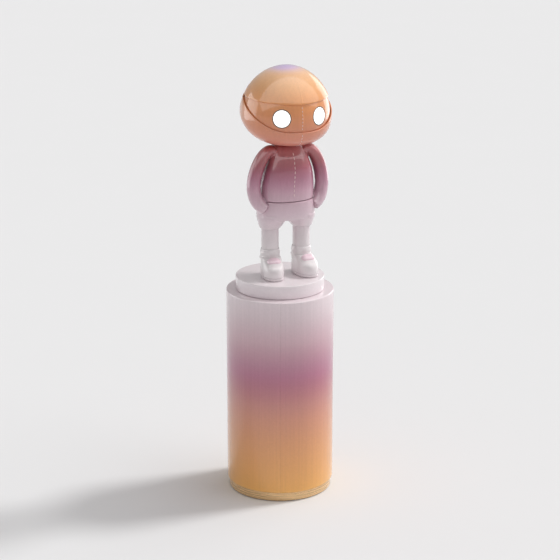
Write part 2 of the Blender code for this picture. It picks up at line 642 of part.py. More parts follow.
def head_shells(materials, head, swivel):
    """Inner core with the face, the cowl round its back and chin, and the neck bush."""
    core = skin(lambda azimuth: tilt_under(7.0 * MM, azimuth),
                lambda azimuth: tilt_at(cap_edge(azimuth) + CORE_LAP, azimuth), 9, CORE_INSET, CORE_WALL)
    core = place("head_core", core, materials["ombre_lacquer"], head)
    bore = disc(BUSH_RADIUS + GAP, BUSH_BOTTOM - 10 * MM, BUSH_FLANGE + 4 * MM, FINE)
    cut(core, place("bush_bore_cutter", bore, materials["steel"], swivel))
    for side, sign in (("right", -1), ("left", 1)):
        centre, turn = eye_frame(sign)
        hole = disc(EYE_RADIUS + GAP, -9 * MM, 9 * MM, FINE)
        cut(core, place(f"eye_hole_cutter_{side}", hole, materials["steel"], head, centre, turn))

    cowl = skin(lambda azimuth: tilt_under(COWL_NECK_RADIUS, azimuth),
                lambda azimuth: tilt_at(cowl_edge(azimuth), azimuth), 8, 0.0, SKIN_WALL)
    place("head_cowl", cowl, materials["ombre_lacquer"], head)

    inner = POST_RADIUS + GAP
    bush = turned([(inner, BUSH_BOTTOM), (BUSH_RADIUS, BUSH_BOTTOM), (BUSH_RADIUS, BUSH_FLANGE),
                   (BUSH_RADIUS + 2.6 * MM, BUSH_FLANGE), (BUSH_RADIUS + 2.6 * MM, BUSH_TOP),
                   (inner, BUSH_TOP)], SMALL)
    place("neck_bush", bush, materials["grey_plastic"], swivel)


def head_cap(materials, cap):
    crown = math.radians(90.0)
    shell = skin(lambda azimuth: tilt_at(cap_edge(azimuth), azimuth), lambda azimuth: crown, 7, 0.0,
                 SKIN_WALL)
    place("head_cap", shell, materials["ombre_lacquer"], cap)


def eyes(materials, head):
    for side, sign in (("right", -1), ("left", 1)):
        centre, turn = eye_frame(sign)
        lens = turned([(0.0, -0.2 * MM), (5.5 * MM, -0.4 * MM), (9.4 * MM, -0.9 * MM),
                       (EYE_RADIUS - 0.3 * MM, -1.3 * MM), (EYE_RADIUS, -1.8 * MM),
                       (EYE_RADIUS, CUP_FRONT + GAP), (0.0, CUP_FRONT + GAP)], FINE)
        place(f"eye_lens_{side}", lens, materials["lit_diffuser"], head, centre, turn)
        wall = 1.4 * MM
        cup = turned([(0.0, CUP_BACK), (CUP_RADIUS, CUP_BACK), (CUP_RADIUS, CUP_FRONT),
                      (CUP_RADIUS - wall, CUP_FRONT), (CUP_RADIUS - wall, CUP_BACK + wall),
                      (0.0, CUP_BACK + wall)], FINE)
        place(f"eye_cup_{side}", cup, materials["white_plastic"], head, centre, turn)
        board = CUP_BACK + wall + GAP
        led = turned([(0.0, board), (8.0 * MM, board),
                      (8.0 * MM, board + 1.4 * MM), (2.5 * MM, board + 1.4 * MM),
                      (2.2 * MM, board + 2.8 * MM), (0.0, board + 3.4 * MM)], SMALL)
        place(f"led_board_{side}", led, materials["circuit_board"], head, centre, turn)


def wire(name, points, material, parent):
    """A lead as a bevelled curve with filled ends."""
    curve = bpy.data.curves.new(name, "CURVE")
    curve.dimensions = "3D"
    curve.bevel_depth = WIRE_RADIUS
    curve.bevel_resolution = 2
    curve.use_fill_caps = True
    route = smooth_curve(points, 2 * len(points) - 3)
    spline = curve.splines.new("POLY")
    spline.points.add(len(route) - 1)
    for spot, point in zip(spline.points, route):
        spot.co = (*point, 1.0)
    curve.materials.append(material)
    item = bpy.data.objects.new(name, curve)
    item.parent = parent
    bpy.context.scene.collection.objects.link(item)


def electronics(materials, head):
    """Tray, battery holder, cells, switch body and the leads to the eyes."""
    hole_spot = (12.3 * MM, -16.8 * MM)
    tray = place("battery_tray", disc(TRAY_RADIUS, TRAY_BOTTOM, TRAY_TOP), materials["grey_plastic"], head)
    holes = [moved(disc(2.4 * MM, TRAY_BOTTOM - 2 * MM, TRAY_TOP + 2 * MM, BORE),
                   (sign * hole_spot[0], hole_spot[1], 0.0)) for sign in (-1, 1)]
    cut(tray, place("wire_hole_cutter", merged(*holes), materials["steel"], head))
    for side, sign in (("right", -1), ("left", 1)):
        centre, turn = eye_frame(sign)
        room = disc(CUP_RADIUS + 2 * GAP, CUP_BACK - 2 * GAP, 12 * MM, FINE)
        cut(tray, place(f"cup_room_cutter_{side}", room, materials["steel"], head, centre, turn))

    floor = TRAY_TOP + GAP
    length, depth, height = HOLDER_SIZE
    holder = place("battery_holder", block(HOLDER_SIZE, (0.0, HOLDER_Y, floor + height / 2)),
                   materials["black_plastic"], head)
    wells = []
    for index, offset in enumerate((-1, 1)):
        y = HOLDER_Y + offset * (CELL_RADIUS + 0.7 * MM)
        size = (CELL_LENGTH + 2 * MM, 2 * CELL_RADIUS + 2 * GAP, height)
        wells.append(block(size, (0.0, y, floor + 1.4 * MM + height / 2)))
        cell = disc(CELL_RADIUS, -CELL_LENGTH / 2, CELL_LENGTH / 2, SMALL)
        lying = Matrix.Rotation(offset * math.radians(90.0), 4, "Y").to_quaternion()
        place(f"battery_{index + 1}", cell, materials["cell_jacket"], head,
              (0.0, y, floor + 1.4 * MM + CELL_RADIUS + GAP), lying)
    cut(holder, place("battery_well_cutter", merged(*wells), materials["steel"], head))

    length, width, height = SWITCH_SIZE
    housing = block(SWITCH_SIZE, (0.0, SWITCH_Y, floor + height / 2))
    body = place("switch_body", housing, materials["steel"], head)
    slot = block((7.4 * MM, 3.0 * MM, 4 * MM), (0.0, SWITCH_Y, floor + height))
    cut(body, place("switch_slot_cutter", slot, materials["steel"], head))

    for side, sign in (("right", -1), ("left", 1)):
        centre, turn = eye_frame(sign)
        exit_point = centre + turn @ Vector((0.0, 0.0, CUP_BACK - GAP))
        bend = centre + turn @ Vector((0.0, 0.0, CUP_BACK - 5 * MM))
        holder_front = HOLDER_Y - HOLDER_SIZE[1] / 2 - GAP
        route = [exit_point, bend, (sign * 13.2 * MM, -22.0 * MM, 9.5 * MM),
                 (sign * hole_spot[0], hole_spot[1] - 0.4 * MM, 14.0 * MM),
                 (sign * hole_spot[0], hole_spot[1] + 0.6 * MM, 19.5 * MM),
                 (sign * hole_spot[0], -11.5 * MM, 23.0 * MM),
                 (sign * hole_spot[0], holder_front, 23.6 * MM)]
        wire(f"eye_lead_{side}", route, materials["red_wire"], head)
    back = HOLDER_Y + HOLDER_SIZE[1] / 2 + GAP
    front = SWITCH_Y - SWITCH_SIZE[1] / 2 - GAP
    wire("switch_lead", [(0.0, back, 21.0 * MM), (0.0, back + 1.5 * MM, 21.2 * MM),
                         (0.0, front - 1.5 * MM, 20.8 * MM),
                         (0.0, front, 20.6 * MM)], materials["red_wire"], head)


def switch_knob(materials, head):
    """Slider that stands in the switch's slot; it starts at the lit end of its travel."""
    slide = pivot("switch_slide", (-SWITCH_TRAVEL / 2, SWITCH_Y, TRAY_TOP + GAP), head)
    height = SWITCH_SIZE[2]
    knob = block((3.0 * MM, 2.4 * MM, 5.0 * MM), (0.0, 0.0, height + 0.9 * MM))
    place("switch_knob", knob, materials["black_plastic"], slide)


def build():
    clear_scene()
    materials = {
        "ombre_lacquer": paint("ombre_lacquer", (0.62, 0.28, 0.25), 0.18),
        "white_lacquer": paint("white_lacquer", (0.66, 0.58, 0.60), 0.20),
        "champagne": paint("champagne", (0.62, 0.50, 0.33), 0.30),
        "lit_diffuser": paint("lit_diffuser", (1.0, 1.0, 0.98), 0.40),
        "white_plastic": paint("white_plastic", (0.80, 0.80, 0.78), 0.45),
        "grey_plastic": paint("grey_plastic", (0.30, 0.30, 0.31), 0.50),
        "black_plastic": paint("black_plastic", (0.03, 0.03, 0.03), 0.45),
        "rubber": paint("rubber", (0.05, 0.05, 0.05), 0.85),
        "steel": paint("steel", (0.55, 0.55, 0.56), 0.35, 1.0),
        "cast_iron": paint("cast_iron", (0.12, 0.12, 0.12), 0.60, 0.8),
        "circuit_board": paint("circuit_board", (0.75, 0.75, 0.70), 0.50),
        "cell_jacket": paint("cell_jacket", (0.10, 0.22, 0.16), 0.35),
        "red_wire": paint("red_wire", (0.55, 0.04, 0.03), 0.45),
    }
    pedestal(materials)

    figure = pivot("figure_lift", (FIGURE_X, 0.0, 0.0))
    display_disc(materials, figure)
    for side, sign in (("right", -1), ("left", 1)):
        leg_parts(materials, figure, side, sign)
    shorts(materials, figure)
    torso(materials, figure)
    arms(materials, figure)
    hips_and_neck(materials, figure)

    swivel = pivot("head_swivel", (0.0, NECK_Y, 0.0), figure)
    head = pivot("head_frame", (0.0, -NECK_Y, HEAD_CENTRE), swivel)
    head.rotation_euler = (HEAD_NOD, 0.0, 0.0)
    head_shells(materials, head, swivel)
    eyes(materials, head)
    electronics(materials, head)
    switch_knob(materials, head)
    cap = pivot("cap_lift", (0.0, 0.0, 0.0), head)
    head_cap(materials, cap)


build()
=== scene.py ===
"""Looks of the vinyl art toy: fine shells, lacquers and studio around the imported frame.

Sizes come from the frame's own boxes and joints. The figure faces -Y, +Z is up, units are metres.
"""

import json
import math

import bmesh
import bpy
from mathutils import Matrix, Vector


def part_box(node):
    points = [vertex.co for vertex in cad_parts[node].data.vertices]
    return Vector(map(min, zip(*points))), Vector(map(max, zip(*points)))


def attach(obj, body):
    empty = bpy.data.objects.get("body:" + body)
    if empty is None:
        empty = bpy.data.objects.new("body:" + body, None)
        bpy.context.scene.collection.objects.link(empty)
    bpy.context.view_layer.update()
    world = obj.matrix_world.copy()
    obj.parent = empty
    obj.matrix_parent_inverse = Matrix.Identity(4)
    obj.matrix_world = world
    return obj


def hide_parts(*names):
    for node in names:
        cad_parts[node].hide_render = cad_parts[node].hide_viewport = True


MM = 0.001
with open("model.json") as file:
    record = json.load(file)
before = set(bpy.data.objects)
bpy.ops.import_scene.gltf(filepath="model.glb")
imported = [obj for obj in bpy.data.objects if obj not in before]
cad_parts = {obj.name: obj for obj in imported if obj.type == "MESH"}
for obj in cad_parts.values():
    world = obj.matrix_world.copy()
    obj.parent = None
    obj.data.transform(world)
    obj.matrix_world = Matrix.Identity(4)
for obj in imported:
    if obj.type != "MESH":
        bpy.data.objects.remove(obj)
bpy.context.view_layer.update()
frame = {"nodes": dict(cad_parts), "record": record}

# ---- places read from the frame ----

joints = {joint["name"]: joint for joint in frame["record"]["behaviour"]["joints"]}
NECK = Vector(joints["head_turn"]["pos_m"])
FIGURE_X = NECK.x
lift_axis = Vector(joints["cap_lift"]["axis"])
HEAD_NOD = math.atan2(-lift_axis.y, lift_axis.z)

column_low, column_high = (Vector(corner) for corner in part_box("pedestal_column"))
ring_low, ring_high = (Vector(corner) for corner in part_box("foot_ring"))
disc_low, disc_high = (Vector(corner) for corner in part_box("display_disc"))
leg_low, leg_high = (Vector(corner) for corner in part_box("leg_left"))
cuff_low, cuff_high = (Vector(corner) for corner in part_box("sock_cuff_left"))
sole_low, sole_high = (Vector(corner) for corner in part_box("sole_left"))
_, shoe_high = (Vector(corner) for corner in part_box("shoe_left"))
grip_low, grip_high = (Vector(corner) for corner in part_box("anti_slip_ring"))
plate_low, plate_high = (Vector(corner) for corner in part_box("base_plate"))

COLUMN_RADIUS = column_high.x
COLUMN_WALL = 4.0 * MM
BOSS_RADIUS = 5.0 * MM
BOSS_HEIGHT = 6.0 * MM
COLUMN_TOP = column_high.z - BOSS_HEIGHT
COLUMN_BOTTOM = column_low.z
DISC_RADIUS = disc_high.x
LEG_X = 0.5 * (leg_low.x + leg_high.x) - FIGURE_X
LEG_RADIUS = 0.5 * (leg_high.x - leg_low.x)
CUFF_RADIUS = 0.5 * (cuff_high.x - cuff_low.x)
TOE_OUT = math.radians(6.0)
SLIP = 0.3 * MM
SIDES = (("right", -1), ("left", 1))

# Head, as in the frame: heights on it run along its own nodding axis from its centre.
HEAD_CENTRE = Vector((FIGURE_X, 0.0, 468.0 * MM))
HEAD_RADIUS = 54.4 * MM
HEAD_RISE = 56.3 * MM
HEAD_DROP = 31.4 * MM
CROWN_POWER = 1.9
CHIN_POWER_FRONT = 3.0
CHIN_POWER_BACK = 1.95
SKIN_WALL = 1.6 * MM
CORE_INSET = 2.05 * MM
CORE_WALL = 2.4 * MM
CAP_EDGE_FRONT = 28.0 * MM
CAP_EDGE_BACK = 16.5 * MM
COWL_EDGE_FRONT = -4.0 * MM
COWL_EDGE_BACK = 15.6 * MM
COWL_NECK_RADIUS = 26.0 * MM
CORE_NECK_RADIUS = 7.0 * MM
CORE_LAP = 4.0 * MM
EYE_HEIGHT = 11.6 * MM
EYE_AZIMUTH = math.radians(28.0)
EYE_TILT = math.radians(14.0)
EYE_RADIUS = 10.8 * MM
BUSH_RADIUS = 8.6 * MM
head_to_row = Matrix.Translation(HEAD_CENTRE) @ Matrix.Rotation(HEAD_NOD, 4, "X")

# Fineness of the turned and lofted pieces.
ROUND = 192
HEAD_ROUND = 180
LIMB_ROUND = 56
RIM_STEPS = 8
DOME_STEPS = 12
CROWN_TILT = math.radians(89.9)
SHARP_ANGLE = math.radians(40.0)
CREASE_ANGLE = math.radians(38.0)

# Parting lines: raised on the head, sunk in the column, as (share of half width, share of height).
SEAM_WIDTH = 0.35 * MM
SEAM_HEIGHT = 0.14 * MM
SEAM_REACH = 0.97
SEAM_PROFILE = ((-1.0, 0.0), (-0.4, 0.75), (0.0, 1.0), (0.4, 0.75), (1.0, 0.0))


# ---- mesh helpers ----

def blend(start, end, value):
    """Ease from 0 to 1 as value runs from start to end."""
    t = min(max((value - start) / (end - start), 0.0), 1.0)
    return t * t * (3.0 - 2.0 * t)


def lofted(rings, closed=False, capped=True):
    """Join rings in order; a closed loft runs back to its first ring, an open one gets ends."""
    bm = bmesh.new()
    loops = [[bm.verts.new(point) for point in ring] for ring in rings]
    pairs = list(zip(loops, loops[1:]))
    if closed:
        pairs.append((loops[-1], loops[0]))
    for lower, upper in pairs:
        for step in range(max(len(lower), len(upper))):
            corners = [lower[step % len(lower)], lower[(step + 1) % len(lower)],
                       upper[(step + 1) % len(upper)], upper[step % len(upper)]]
            corners = list(dict.fromkeys(corners))
            if len(corners) > 2:
                bm.faces.new(corners)
    if capped and not closed:
        for loop in (loops[0], loops[-1]):
            if len(loop) > 2:
                bm.faces.new(loop)
    bmesh.ops.recalc_face_normals(bm, faces=bm.faces)
    return bm


def tool(name, bm):
    """An object with a bmesh's faces: the start of a piece, or a throwaway for a Boolean."""
    mesh = bpy.data.meshes.new(name)
    bm.to_mesh(mesh)
    bm.free()
    item = bpy.data.objects.new(name, mesh)
    bpy.context.scene.collection.objects.link(item)
    return item


def dress(item, material, body, nodes, sharp):
    """Shade an object and tie it to its body and the frame nodes it replaces."""
    item.data.shade_smooth()
    item.data.set_sharp_from_angle(angle=sharp)
    item.data.materials.clear()
    item.data.materials.append(material)
    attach(item, body)
    if nodes:
        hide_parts(*nodes)


def piece(name, bm, material, body, nodes=()):
    """Turn a bmesh in row coordinates into a shaded piece that rides on a body."""
    item = tool(name, bm)
    dress(item, material, body, nodes, SHARP_ANGLE)
    return item


def filleted(corners, steps=5):
    """Round the corners of a closed outline given as (radius, height, fillet)."""
    outline = []
    count = len(corners)
    for index, (x, y, fillet) in enumerate(corners):
        here = Vector((x, y))
        before = Vector(corners[index - 1][:2]) - here
        after = Vector(corners[(index + 1) % count][:2]) - here
        if fillet <= 0.0 or x <= 0.0:
            outline.append((x, y))
            continue
        reach = min(fillet, 0.49 * before.length, 0.49 * after.length)
        start = here + before.normalized() * reach
        end = here + after.normalized() * reach
        for step in range(steps + 1):
            t = step / steps
            point = start * (1 - t) ** 2 + here * 2 * t * (1 - t) + end * t ** 2
            outline.append((point.x, point.y))
    return outline


def bowed(value, power):
    """Sine or cosine squared off for a superellipse, with its sign kept."""
    return math.copysign(abs(value) ** power, value)


def turned(outline, count=ROUND, centre=(0.0, 0.0), seam_at=None):
    """Turn an outline of (radius, height) about an upright axis, with an optional upright seam."""
    outer = max(radius for radius, _ in outline)
    azimuths = [math.tau * step / count for step in range(count)]
    seam = {}
    if seam_at is not None:
        width = SEAM_WIDTH / outer
        for share, rise in SEAM_PROFILE:
            seam[(seam_at + share * width) % math.tau] = rise
        clear = 0.5 * math.tau / count
        azimuths = [azimuth for azimuth in azimuths if all(abs(azimuth - mark) > clear for mark in seam)]
        azimuths = sorted(azimuths + list(seam))
    rings = []
    for radius, height in outline:
        if radius <= 0.0:
            rings.append([Vector((centre[0], centre[1], height))])
            continue
        on_wall = radius > SEAM_REACH * outer
        ring = []
        for azimuth in azimuths:
            reach = radius - (SEAM_HEIGHT * seam.get(azimuth, 0.0) if on_wall else 0.0)
            ring.append(Vector((centre[0] + reach * math.sin(azimuth),
                                centre[1] - reach * math.cos(azimuth), height)))
        rings.append(ring)
    return lofted(rings, closed=True)


def plug(radius, low, high, count=32, centre=(0.0, 0.0)):
    """Plain upright cylinder between two heights, for a limb or for cutting a hole."""
    return turned([(0.0, low), (radius, low), (radius, high), (0.0, high)], count, centre)


def heading(path, index):
    """Unit direction of a path of points at one of its points."""
    last = len(path) - 1
    return (path[min(index + 1, last)] - path[max(index - 1, 0)]).normalized()


def hoop(centre, across, up, radius, count, depth=1.0):
    """Ring of points about a centre in the plane of two directions; depth makes it oval."""
    return [centre + across * radius * math.cos(math.tau * step / count)
            + up * radius * depth * math.sin(math.tau * step / count) for step in range(count)]


def tube(path, radii, count, depth):
    """Oval limb along a path; depth stretches it front to back."""
    rings = []
    for index, point in enumerate(path):
        along = heading(path, index)
        side = along.cross(Vector((0.0, 1.0, 0.0))).normalized()
        fore = side.cross(along).normalized()
        rings.append(hoop(point, side, fore, radii[index], count, depth))
    return lofted(rings)


def smooth_curve(points, count):
    """Catmull-Rom curve through the points, read at even steps."""
    knots = [Vector(point) for point in points]
    knots = [2 * knots[0] - knots[1]] + knots + [2 * knots[-1] - knots[-2]]
    spans = len(knots) - 3
    curve = []
    for step in range(count):
        along = min(step / (count - 1) * spans, spans - 1e-9)
        span = int(along)
        t = along - span
        a, b, c, d = knots[span:span + 4]
        curve.append(0.5 * (2 * b + (c - a) * t + (2 * a - 5 * b + 4 * c - d) * t ** 2
                            + (3 * b - a - 3 * c + d) * t ** 3))
    return curve


def cut(target, cutter, operation="DIFFERENCE"):
    """Apply a Boolean with a throwaway cutter."""
    modifier = target.modifiers.new("cut", "BOOLEAN")
    modifier.operation = operation
    modifier.object = cutter
    modifier.solver = "EXACT"
    settle(target)
    bpy.data.objects.remove(cutter, do_unlink=True)


def settle(target):
    """Apply a piece's modifiers to its mesh."""
    graph = bpy.context.evaluated_depsgraph_get()
    mesh = bpy.data.meshes.new_from_object(target.evaluated_get(graph))
    target.modifiers.clear()
    target.data = mesh


# ---- materials ----

def srgb(*levels):
    """Linear colour from 0-255 display levels."""
    linear = []
    for level in levels:
        share = level / 255.0
        linear.append(share / 12.92 if share <= 0.04045 else ((share + 0.055) / 1.055) ** 2.4)
    return (*linear, 1.0)


class Nodes:
    """Short names for building a material's node tree."""

    def __init__(self, name):
        self.material = bpy.data.materials.new(name)
        self.material.use_nodes = True
        self.tree = self.material.node_tree
        self.shader = self.tree.nodes["Principled BSDF"]
        self.place = self.add("ShaderNodeTexCoord").outputs["Object"]

    def add(self, kind, **settings):
        node = self.tree.nodes.new(kind)
        for key, value in settings.items():
            setattr(node, key, value)
        return node

    def link(self, source, target):
        self.tree.links.new(source, target)

    def feed(self, name, source):
        """Drive one of the shader's own inputs."""
        self.link(source, self.shader.inputs[name])

    def plain(self, color):
        node = self.add("ShaderNodeRGB")
        node.outputs[0].default_value = color
        return node.outputs[0]

    def stretched(self, scale):
        mapping = self.add("ShaderNodeMapping")
        mapping.inputs["Scale"].default_value = scale
        self.link(self.place, mapping.inputs["Vector"])
        return mapping.outputs["Vector"]

    def noise(self, scale, detail=3.0, roughness=0.5, vector=None):
        node = self.add("ShaderNodeTexNoise")
        node.inputs["Scale"].default_value = scale
        node.inputs["Detail"].default_value = detail
        node.inputs["Roughness"].default_value = roughness
        self.link(vector or self.place, node.inputs["Vector"])
        return node.outputs["Fac"]

    def spread(self, source, low, high, start=0.3, end=0.7):
        node = self.add("ShaderNodeMapRange")
        for key, value in (("From Min", start), ("From Max", end), ("To Min", low), ("To Max", high)):
            node.inputs[key].default_value = value
        self.link(source, node.inputs["Value"])
        return node.outputs["Result"]

    def ramp(self, source, stops):
        node = self.add("ShaderNodeValToRGB")
        elements = node.color_ramp.elements
        while len(elements) < len(stops):
            elements.new(0.5)
        for element, (position, color) in zip(elements, stops):
            element.position = position
            element.color = color
        self.link(source, node.inputs["Fac"])
        return node.outputs["Color"]

    def tinted(self, color, amount, low, high):
        """Colour times a mottling factor."""
        factor = self.spread(amount, low, high)
        node = self.add("ShaderNodeVectorMath", operation="SCALE")
        self.link(color, node.inputs[0])
        self.link(factor, node.inputs["Scale"])
        return node.outputs["Vector"]

    def bump(self, height, strength, distance):
        node = self.add("ShaderNodeBump")
        node.inputs["Strength"].default_value = strength
        node.inputs["Distance"].default_value = distance
        self.link(height, node.inputs["Height"])
        return node.outputs["Normal"]

    def gloss(self, **values):
        for key, value in values.items():
            self.shader.inputs[key.replace("_", " ")].default_value = value


FADE_TOP = 0.53


def height_stops(levels):
    """Ramp stops from (height in mm, display colour) pairs, lowest first."""
    return [(z * MM / FADE_TOP, srgb(*color)) for z, color in sorted(levels)]


def lacquer(name, levels, streaks=0.0):
    """Colour fade by height under a clear gloss coat: sprayed colour, plus painted shade and painted
    reflection where the levels hold them.
    """
    kit = Nodes(name)
    split = kit.add("ShaderNodeSeparateXYZ")
    kit.link(kit.place, split.inputs[0])
    drift = kit.spread(kit.noise(14.0, 2.0), -0.001, 0.001)
    lifted = kit.add("ShaderNodeMath", operation="ADD")
    kit.link(split.outputs["Z"], lifted.inputs[0])
    kit.link(drift, lifted.inputs[1])
    share = kit.spread(lifted.outputs[0], 0.0, 1.0, 0.0, FADE_TOP)
    color = kit.ramp(share, height_stops(levels))
    color = kit.tinted(color, kit.noise(420.0, 4.0, 0.6), 0.975, 1.025)
    if streaks:
        brushed = kit.noise(1.0, 3.0, 0.6, kit.stretched((420.0, 420.0, 5.0)))
        color = kit.tinted(color, brushed, 1.0 - streaks, 1.0 + streaks)
    kit.feed("Base Color", color)
    kit.feed("Roughness", kit.spread(kit.noise(160.0, 4.0), 0.30, 0.42))
    kit.feed("Coat Normal", kit.bump(kit.noise(700.0, 2.0, 0.4), 0.05, 0.0002))
    kit.feed("Normal", kit.bump(kit.noise(1500.0, 3.0), 0.08, 0.0001))
    kit.gloss(Coat_Weight=1.0, Coat_Roughness=0.04, Coat_IOR=1.5, Specular_IOR_Level=0.35)
    return kit.material


# Colour fades as (height in mm, display levels of red, green and blue): sprayed colour, except the painted
# shade at the sweater's neck and the painted reflection at the crown.
PEDESTAL_FADE = [
    (11, (242, 178, 92)), (30, (238, 171, 96)), (55, (232, 164, 103)), (80, (224, 156, 111)),
    (105, (214, 146, 120)), (122, (203, 136, 126)), (137, (192, 122, 128)), (150, (184, 113, 132)),
    (160, (183, 114, 139)), (172, (186, 128, 149)), (186, (195, 148, 162)), (206, (208, 174, 183)),
    (232, (219, 199, 204)), (256, (230, 216, 220))]

# The darkest reds at the top, from 428 mm up, are painted shade under the head with a painted red reflection
# of its underside, not sprayed colour.
BODY_FADE_WITH_NECK_SHADE = [
    (260, (236, 224, 228)), (290, (232, 226, 226)), (320, (222, 210, 213)), (340, (220, 201, 208)),
    (352, (214, 188, 198)), (364, (204, 172, 184)), (376, (198, 156, 172)), (386, (184, 130, 150)),
    (394, (172, 108, 130)), (402, (164, 92, 110)), (410, (164, 90, 98)), (418, (170, 98, 102)),
    (424, (184, 112, 116)), (428, (182, 100, 102)), (431, (152, 60, 56)), (434, (144, 48, 44))]

# The pale lavender stops at the crown, from 520.5 mm up, are a painted reflection of an overhead light, not
# sprayed colour.
HEAD_FADE_WITH_CROWN_REFLECTION = [
    (430, (198, 118, 102)), (440, (212, 132, 110)), (452, (216, 138, 106)), (466, (220, 140, 94)),
    (480, (226, 148, 92)), (494, (234, 162, 100)), (506, (240, 180, 124)), (517, (244, 194, 150)),
    (520.5, (232, 198, 196)), (522, (214, 188, 222)), (524, (204, 182, 226))]

pedestal_ombre = lacquer("pedestal_ombre", PEDESTAL_FADE, streaks=0.03)
body_ombre = lacquer("body_ombre", BODY_FADE_WITH_NECK_SHADE, streaks=0.04)
ombre = lacquer("head_ombre", HEAD_FADE_WITH_CROWN_REFLECTION, streaks=0.03)
pearl = lacquer("pearl_lacquer", BODY_FADE_WITH_NECK_SHADE)
blush = lacquer("blush_pearl", [(270, (240, 214, 222)), (300, (238, 210, 220))])


def trim_metal(name, color, roughness, metallic):
    """Metal under a thin clear coat, with faint level turning marks."""
    kit = Nodes(name)
    grain = kit.noise(1.0, 3.0, 0.5, kit.stretched((40.0, 40.0, 900.0)))
    kit.feed("Base Color", kit.tinted(kit.plain(color), grain, 0.97, 1.03))
    kit.feed("Roughness", kit.spread(grain, roughness - 0.05, roughness + 0.08))
    kit.feed("Normal", kit.bump(grain, 0.05, 0.00005))
    kit.gloss(Metallic=metallic, Coat_Weight=0.6, Coat_Roughness=0.08)
    return kit.material


def moulded(name, color, roughness, grain_scale=1800.0, strength=0.25, coat=0.0):
    """Moulded plastic or rubber: mottled colour, uneven sheen and a fine pebbled skin."""
    kit = Nodes(name)
    cloud = kit.noise(90.0, 4.0)
    kit.feed("Base Color", kit.tinted(kit.plain(color), cloud, 0.92, 1.08))
    kit.feed("Roughness", kit.spread(cloud, roughness - 0.06, roughness + 0.08))
    kit.feed("Normal", kit.bump(kit.noise(grain_scale, 3.0), strength, 0.0001))
    kit.gloss(Coat_Weight=coat)
    return kit.material


def lit_lens():
    """Opal diffuser with light behind it, faintly cloudy."""
    kit = Nodes("lit_diffuser")
    white = srgb(255, 255, 255)
    kit.feed("Base Color", kit.ramp(kit.noise(260.0, 3.0), [(0.0, srgb(250, 250, 246)), (1.0, white)]))
    kit.feed("Emission Color", kit.ramp(kit.noise(180.0, 2.0), [(0.0, srgb(255, 252, 246)), (1.0, white)]))
    kit.feed("Roughness", kit.spread(kit.noise(600.0, 3.0), 0.20, 0.34))
    kit.gloss(Emission_Strength=1.0, Coat_Weight=0.5, Coat_Roughness=0.06)
    return kit.material


champagne = trim_metal("champagne_trim", srgb(226, 190, 140), 0.26, 0.45)
steel = trim_metal("zinc_steel", srgb(186, 186, 188), 0.30, 1.0)
iron = moulded("ballast_iron", srgb(58, 58, 60), 0.55, 500.0, 0.6)
rubber = moulded("black_rubber", srgb(38, 38, 40), 0.78, 1200.0, 0.5)
white_plastic = moulded("white_plastic", srgb(232, 232, 228), 0.42)
grey_plastic = moulded("grey_plastic", srgb(150, 150, 154), 0.46)
black_plastic = moulded("black_plastic", srgb(40, 40, 43), 0.42, coat=0.2)
board = moulded("circuit_board", srgb(226, 226, 214), 0.40, 700.0, 0.4, coat=0.4)
jacket = moulded("cell_jacket", srgb(70, 122, 100), 0.30, 900.0, 0.08, coat=0.8)
red_wire = moulded("red_wire", srgb(190, 38, 34), 0.40, 1400.0, 0.1, coat=0.3)
lens = lit_lens()
# Dark colour of the rings round the lenses: painted shade for the gap round each lens.
gap_shade_paint = moulded("eye_gap_shade_paint", srgb(92, 84, 78), 0.5, 1600.0, 0.1)
# Pale colour of the dashes: painted highlight along the parting line.
seam_highlight_paint = moulded("seam_highlight_paint", srgb(240, 214, 208), 0.3, 1500.0, 0.05, coat=1.0)


# ---- pedestal ----

SEAM_AZIMUTH = math.radians(-22.0)
SPIGOT_WALL = 2.5 * MM
GROOVE_EDGE = 1.6 * MM
GROOVE_DEPTH = 6.6 * MM
FLANGE_INNER = 50.0 * MM
SCREW_CIRCLE = 53.4 * MM
SCREW_SEAT = 2.9 * MM
SCREW_HEAD_HOLE = 3.0 * MM
SCREW_HOLE = 1.7 * MM
BOLT_HOLE = 3.3 * MM
OVERRUN = 5 * MM


def column_piece():
    """Hollow column, open below, with a locating boss on top and a parting line down its side."""
    top = COLUMN_TOP
    inner = COLUMN_RADIUS - COLUMN_WALL
    outline = filleted([
        (0.0, top + BOSS_HEIGHT, 0.0), (BOSS_RADIUS, top + BOSS_HEIGHT, 1.0 * MM), (BOSS_RADIUS, top, 0.0),
        (COLUMN_RADIUS, top, 2.0 * MM), (COLUMN_RADIUS, COLUMN_BOTTOM, 3.2 * MM),
        (inner, COLUMN_BOTTOM, 0.4 * MM), (inner, top - COLUMN_WALL, 1.0 * MM),
        (0.0, top - COLUMN_WALL, 0.0)])
    column = turned(outline, seam_at=SEAM_AZIMUTH)
    piece("column_shell", column, pedestal_ombre, "pedestal", ["pedestal_column"])


